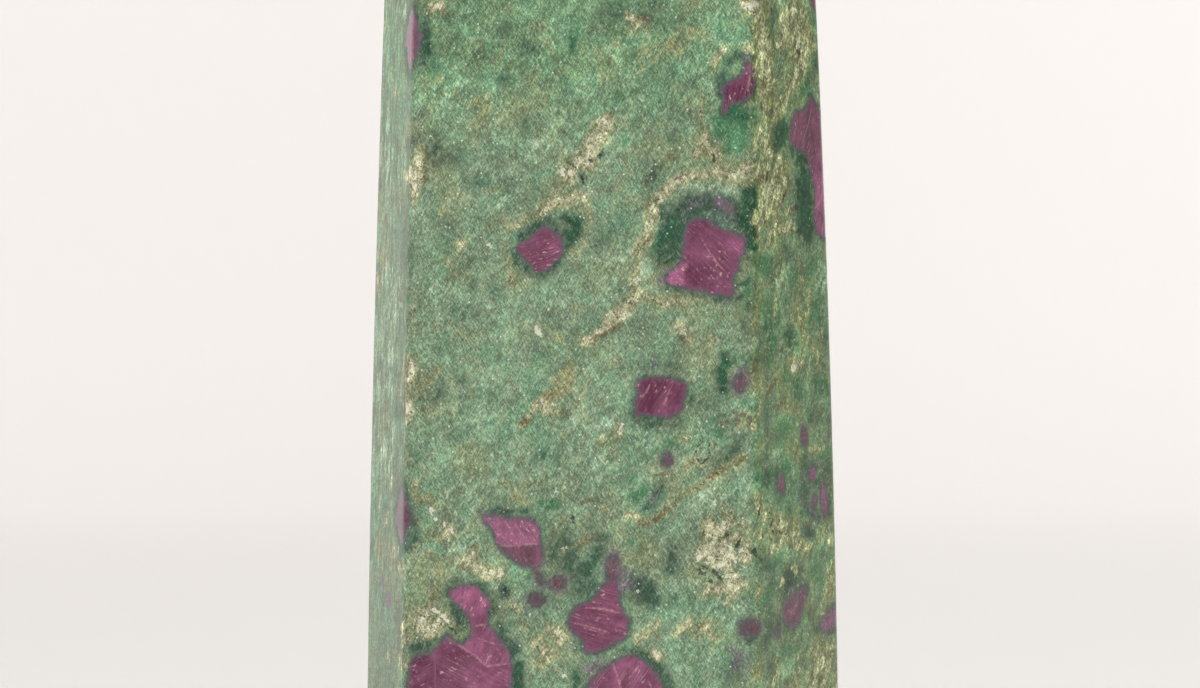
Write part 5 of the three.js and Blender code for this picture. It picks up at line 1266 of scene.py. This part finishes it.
# dark grit in the altered patches and beside the brown lines
crumbs = addNode(tree, "ShaderNodeTexNoise", inputs={
    "Vector": inMm, "Scale": 1 / fuchsite["crumb"], "Detail": 2.0, "Roughness": 0.7})
gritty = addNode(tree, "ShaderNodeSeparateColor", inputs={0: crumbs.outputs["Color"]}).outputs[1]
gritty = addNode(tree, "ShaderNodeMapRange", inputs={0: gritty, 1: 0.55, 2: 0.65, 3: 0.0, 4: 1.0}).outputs[0]
crumbs = crumbs.outputs[0]
for kind, low, high in (("cream", 0.1, 0.6), ("olive", 0.3, 0.9), ("brown", 0.7, -0.1)):
    part = addNode(tree, "ShaderNodeMapRange", inputs={
        0: field[kind], 1: low, 2: high, 3: 0.0, 4: fuchsite["gritStrength"]}).outputs[0]
    part = addNode(tree, "ShaderNodeMath", {"operation": "MULTIPLY"}, {0: part, 1: gritty}).outputs[0]
    colour = addNode(tree, "ShaderNodeMix", {"data_type": "RGBA"}, {
        0: part, 6: colour, 7: linear(fuchsite["grit"])}).outputs[2]

# small marks, broken up along their edges, the brown ones along their length too
cover = {}
for kind, (strength, worn) in fuchsite["markStrength"].items():
    part = addNode(tree, "ShaderNodeMath", {"operation": "MULTIPLY_ADD"}, {
        0: crumbs, 1: -worn, 2: worn * 0.52}).outputs[0]
    part = addNode(tree, "ShaderNodeMath", {"operation": "ADD"}, {0: field[kind], 1: part}).outputs[0]
    cover[kind] = addNode(tree, "ShaderNodeMapRange", inputs={
        0: part, 1: 0.1, 2: -0.1, 3: 0.0, 4: strength}).outputs[0]
veined = addNode(tree, "ShaderNodeMapRange", inputs={0: marble, 1: 0.38, 2: 0.5, 3: 0.3, 4: 1.0}).outputs[0]
cover["brown"] = addNode(tree, "ShaderNodeMath", {"operation": "MULTIPLY"}, {
    0: cover["brown"], 1: veined}).outputs[0]
# black is painted shade in cracks and pits; brown and white are the stone's own
for kind in ("brown", "white", "black"):
    colour = addNode(tree, "ShaderNodeMix", {"data_type": "RGBA"}, {
        0: cover[kind], 6: colour, 7: linear(fuchsite[kind])}).outputs[2]

# ruby: growth lines along the crystal and clouds of plum and magenta
lines = addNode(tree, "ShaderNodeAttribute", {"attribute_name": "rubyLines"}).outputs["Vector"]
grown = {}
for name, (detail, rough) in {
    "growth": (2.0, 0.6), "cloud": (4.0, 0.65), "scratch": (0.0, 0.5), "fleck": (1.0, 0.5),
}.items():
    scaled = addNode(tree, "ShaderNodeVectorMath", {"operation": "MULTIPLY"}, {
        0: lines, 1: rubyScales[name]}).outputs[0]
    grown[name] = addNode(tree, "ShaderNodeTexNoise", inputs={
        "Vector": scaled, "Scale": 1.0, "Detail": detail, "Roughness": rough}).outputs
rubyParts = addNode(tree, "ShaderNodeSeparateColor", inputs={0: grown["cloud"]["Color"]}).outputs
rubyTone = field["tone"]
for pattern, weight in ((grown["growth"][0], 0.45), (grown["cloud"][0], 1.9), (flakes[0], 0.45)):
    part = addNode(tree, "ShaderNodeMath", {"operation": "MULTIPLY_ADD"}, {
        0: pattern, 1: weight, 2: -0.5 * weight}).outputs[0]
    rubyTone = addNode(tree, "ShaderNodeMath", {"operation": "ADD"}, {0: rubyTone, 1: part}).outputs[0]
rubyRamp = addNode(tree, "ShaderNodeValToRGB", inputs={0: rubyTone})
rubyRamp.color_ramp.elements[0].color = linear(fuchsite["rubyDeep"])
rubyRamp.color_ramp.elements[1].color = linear(fuchsite["rubyLight"])
rubyRamp.color_ramp.elements.new(0.5).color = linear(fuchsite["rubyMiddle"])
rubyColour = rubyRamp.outputs[0]

# pale flecks and fine lines along the growth, in parts of a crystal and all over the palest ones
fleckedPart = addNode(tree, "ShaderNodeMapRange", inputs={
    0: rubyParts[1], 1: 0.45, 2: 0.6, 3: 0.12, 4: 1.0}).outputs[0]
paleCrystal = addNode(tree, "ShaderNodeMapRange", inputs={
    0: field["tone"], 1: 0.74, 2: 0.84, 3: 0.0, 4: 1.0}).outputs[0]
fleckedPart = addNode(tree, "ShaderNodeMath", {"operation": "MAXIMUM"}, {
    0: fleckedPart, 1: paleCrystal}).outputs[0]
for name, low, high, share in (("scratch", 0.6, 0.76, 0.34), ("fleck", 0.62, 0.72, 0.75)):
    part = addNode(tree, "ShaderNodeMapRange", inputs={
        0: grown[name][0], 1: low, 2: high, 3: 0.0, 4: share}).outputs[0]
    cover[name] = addNode(tree, "ShaderNodeMath", {"operation": "MULTIPLY"}, {
        0: part, 1: fleckedPart}).outputs[0]

# its edge is nibbled by the mica, and its margin greyed
edgeNoise = addNode(tree, "ShaderNodeTexNoise", inputs={
    "Vector": inMm, "Scale": 1 / fuchsite["edgeGrain"], "Detail": 3.0, "Roughness": 0.65}).outputs[0]
rubyEdge = field["gap"]
for pattern, weight, middle in ((edgeNoise, 1.4, 0.5), (highest, -1.1, 0.56), (crumbs, 1.0, 0.5)):
    part = addNode(tree, "ShaderNodeMath", {"operation": "MULTIPLY_ADD"}, {
        0: pattern, 1: weight, 2: -weight * middle}).outputs[0]
    rubyEdge = addNode(tree, "ShaderNodeMath", {"operation": "ADD"}, {0: rubyEdge, 1: part}).outputs[0]
cover["margin"] = addNode(tree, "ShaderNodeMapRange", inputs={
    0: rubyEdge, 1: -0.55, 2: -0.05, 3: 0.0, 4: 0.85}).outputs[0]
for name, paint in (
    ("scratch", "rubyScratch"),
    ("fleck", "rubyFleck"),
    ("crack", "crack"),
    ("margin", "rubyMargin"),
):
    rubyColour = addNode(tree, "ShaderNodeMix", {"data_type": "RGBA"}, {
        0: cover[name], 6: rubyColour, 7: linear(fuchsite[paint])}).outputs[2]
# a faint crystal lies just under the surface, so it also fades out more slowly
faint = addNode(tree, "ShaderNodeMapRange", inputs={
    0: field["fade"], 1: 1.0, 2: 0.5, 3: 0.22, 4: 1.0}).outputs[0]
rubyCover = addNode(tree, "ShaderNodeMapRange", inputs={
    0: rubyEdge, 1: faint, 2: -0.12, 3: 0.0, 4: 1.0}).outputs[0]
rubyCover = addNode(tree, "ShaderNodeMath", {"operation": "MULTIPLY"}, {
    0: rubyCover, 1: field["fade"]}).outputs[0]
colour = addNode(tree, "ShaderNodeMix", {"data_type": "RGBA"}, {
    0: rubyCover, 6: colour, 7: rubyColour}).outputs[2]

# the mica scatters what the harder ruby mirrors
roughness = addNode(tree, "ShaderNodeMath", {"operation": "MULTIPLY_ADD"}, {
    0: highest, 1: fuchsite["flakeRoughness"], 2: fuchsite["rubyRoughness"]}).outputs[0]
roughness = addNode(tree, "ShaderNodeMix", {"data_type": "FLOAT"}, {
    0: rubyCover, 2: roughness, 3: fuchsite["rubyRoughness"]}).outputs[0]
bump = addNode(tree, "ShaderNodeBump", inputs={
    "Height": highest, "Strength": fuchsite["bump"][0], "Distance": fuchsite["bump"][1] * mm}).outputs[0]
shader = addNode(tree, "ShaderNodeBsdfPrincipled", inputs={
    "Base Color": colour, "Roughness": roughness, "Normal": bump, "IOR": 1.58, "Specular IOR Level": 0.2,
    "Coat Weight": 0.05, "Coat Roughness": 0.1})
addNode(tree, "ShaderNodeOutputMaterial", inputs={"Surface": shader.outputs[0]})
stoneMesh.materials.append(rubyFuchsite)
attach(stone, "root")
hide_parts("ruby_fuchsite_point")

# a sweep of seamless paper all round, its sizes in metres
print("setting the stage")
sweep = {
    "flat": 2.0, "curve": 0.9, "wall": 1.2, "curveSteps": 12, "turnSteps": 64, "mergeWithin": 1e-5,
    "colour": "#efece9",
    # it falls off to grey between two distances towards one side, an angle in degrees: painted shade
    "shade": "#5c5a58", "shadeSide": 112, "shadeFrom": (1.6, 2.3),
    # it glows from one strength to another outwards, and more so on the right: painted light, emission from
    # the paper itself
    "glow": (0.25, 0.37), "glowFrom": (0.3, 2.4), "rightGlow": 0.1, "rightGlowFrom": (-0.3, 0.3),
}
bm = bmesh.new()
profile = [bm.verts.new((0, 0, 0)), bm.verts.new((sweep["flat"], 0, 0))]
for k in range(1, sweep["curveSteps"] + 1):
    a = math.pi / 2 * k / sweep["curveSteps"]
    out, up = sweep["flat"] + sweep["curve"] * math.sin(a), sweep["curve"] * (1 - math.cos(a))
    profile.append(bm.verts.new((out, 0, up)))
profile.append(bm.verts.new((sweep["flat"] + sweep["curve"], 0, sweep["curve"] + sweep["wall"])))
profileEdges = [bm.edges.new(pair) for pair in zip(profile, profile[1:])]
bmesh.ops.spin(
    bm, geom=profile + profileEdges, cent=(0, 0, 0), axis=(0, 0, 1), angle=math.tau, steps=sweep["turnSteps"],
    use_merge=True)
bmesh.ops.remove_doubles(bm, verts=bm.verts, dist=sweep["mergeWithin"])
bmesh.ops.recalc_face_normals(bm, faces=bm.faces)
bmesh.ops.reverse_faces(bm, faces=bm.faces)
paperMesh = bpy.data.meshes.new("paperSweep")
bm.to_mesh(paperMesh)
bm.free()
for polygon in paperMesh.polygons:
    polygon.use_smooth = True
paper = bpy.data.objects.new("paperSweep", paperMesh)
bpy.context.scene.collection.objects.link(paper)

# paper painted with shade: it falls off to grey far off on the right, so that the stone's right side mirrors
# something dark
paperWhite, tree = newMaterial("seamlessPaper")
position = addNode(tree, "ShaderNodeTexCoord").outputs["Object"]
turn = math.radians(sweep["shadeSide"])
sideways = addNode(tree, "ShaderNodeVectorMath", {"operation": "DOT_PRODUCT"}, {
    0: position, 1: (math.sin(turn), -math.cos(turn), 0)}).outputs["Value"]
shade = addNode(tree, "ShaderNodeMapRange", inputs={
    0: sideways, 1: sweep["shadeFrom"][0], 2: sweep["shadeFrom"][1], 3: 0.0, 4: 1.0}).outputs[0]
paint = addNode(tree, "ShaderNodeMix", {"data_type": "RGBA"}, {
    0: shade, 6: linear(sweep["colour"]), 7: linear(sweep["shade"])}).outputs[2]
# painted light: the paper itself glows a little towards its wall, and more on the right, though it is no lamp
away = addNode(tree, "ShaderNodeVectorMath", {"operation": "LENGTH"}, {0: position}).outputs["Value"]
glow = addNode(tree, "ShaderNodeMapRange", inputs={
    0: away, 1: sweep["glowFrom"][0], 2: sweep["glowFrom"][1], 3: sweep["glow"][0], 4: sweep["glow"][1],
}).outputs[0]
across = addNode(tree, "ShaderNodeSeparateXYZ", inputs={0: position}).outputs[0]
across = addNode(tree, "ShaderNodeMapRange", inputs={
    0: across, 1: sweep["rightGlowFrom"][0], 2: sweep["rightGlowFrom"][1], 3: 0.0, 4: sweep["rightGlow"],
}).outputs[0]
glow = addNode(tree, "ShaderNodeMath", {"operation": "ADD"}, {0: glow, 1: across}).outputs[0]
shader = addNode(tree, "ShaderNodeBsdfPrincipled", inputs={
    "Base Color": paint, "Roughness": 0.9, "Emission Color": paint, "Emission Strength": glow})
addNode(tree, "ShaderNodeOutputMaterial", inputs={"Surface": shader.outputs[0]})
paperMesh.materials.append(paperWhite)

# soft studio light: white air, a big box at the front left, and a smaller one on the right
air = {"colour": "#ffffff", "strength": 0.335}
world = bpy.data.worlds.new("studioAir")
world.use_nodes = True
world.node_tree.nodes["Background"].inputs[0].default_value = linear(air["colour"])
world.node_tree.nodes["Background"].inputs[1].default_value = air["strength"]
bpy.context.scene.world = world
for name, at, to, size, power in (
    ("keyBox", (-1.5, -1.35, 1.1), (0, 0, 0.1), 1.2, 22.3),
    ("fillBox", (1.2, -0.7, 0.75), (0, 0, 0.1), 0.7, 7.5),
):
    light = bpy.data.lights.new(name, "AREA")
    light.size = size
    light.energy = power
    box = bpy.data.objects.new(name, light)
    box.location = at
    box.rotation_euler = (Vector(to) - Vector(at)).to_track_quat("-Z", "Y").to_euler()
    box.visible_camera = False
    bpy.context.scene.collection.objects.link(box)

# a long lens, level with the middle of what it sees, its places in metres and its film and focal length in mm
lens = {
    "azimuth": 6.5, "distance": 0.6, "height": 0.093, "aside": -0.00029, "focal": 137.8, "film": 36,
    "nearest": 0.01,
}
turn = math.radians(lens["azimuth"])
camera = bpy.data.objects.new("studioCamera", bpy.data.cameras.new("studioCamera"))
camera.location = (
    math.sin(turn) * lens["distance"] + math.cos(turn) * lens["aside"],
    -math.cos(turn) * lens["distance"] + math.sin(turn) * lens["aside"],
    lens["height"],
)
camera.rotation_euler = (math.pi / 2, 0, turn)
camera.data.lens = lens["focal"]
camera.data.sensor_width = lens["film"]
camera.data.clip_start = lens["nearest"]
bpy.context.scene.collection.objects.link(camera)
bpy.context.scene.camera = camera
bpy.context.scene.view_settings.view_transform = "Standard"

print("finishing")
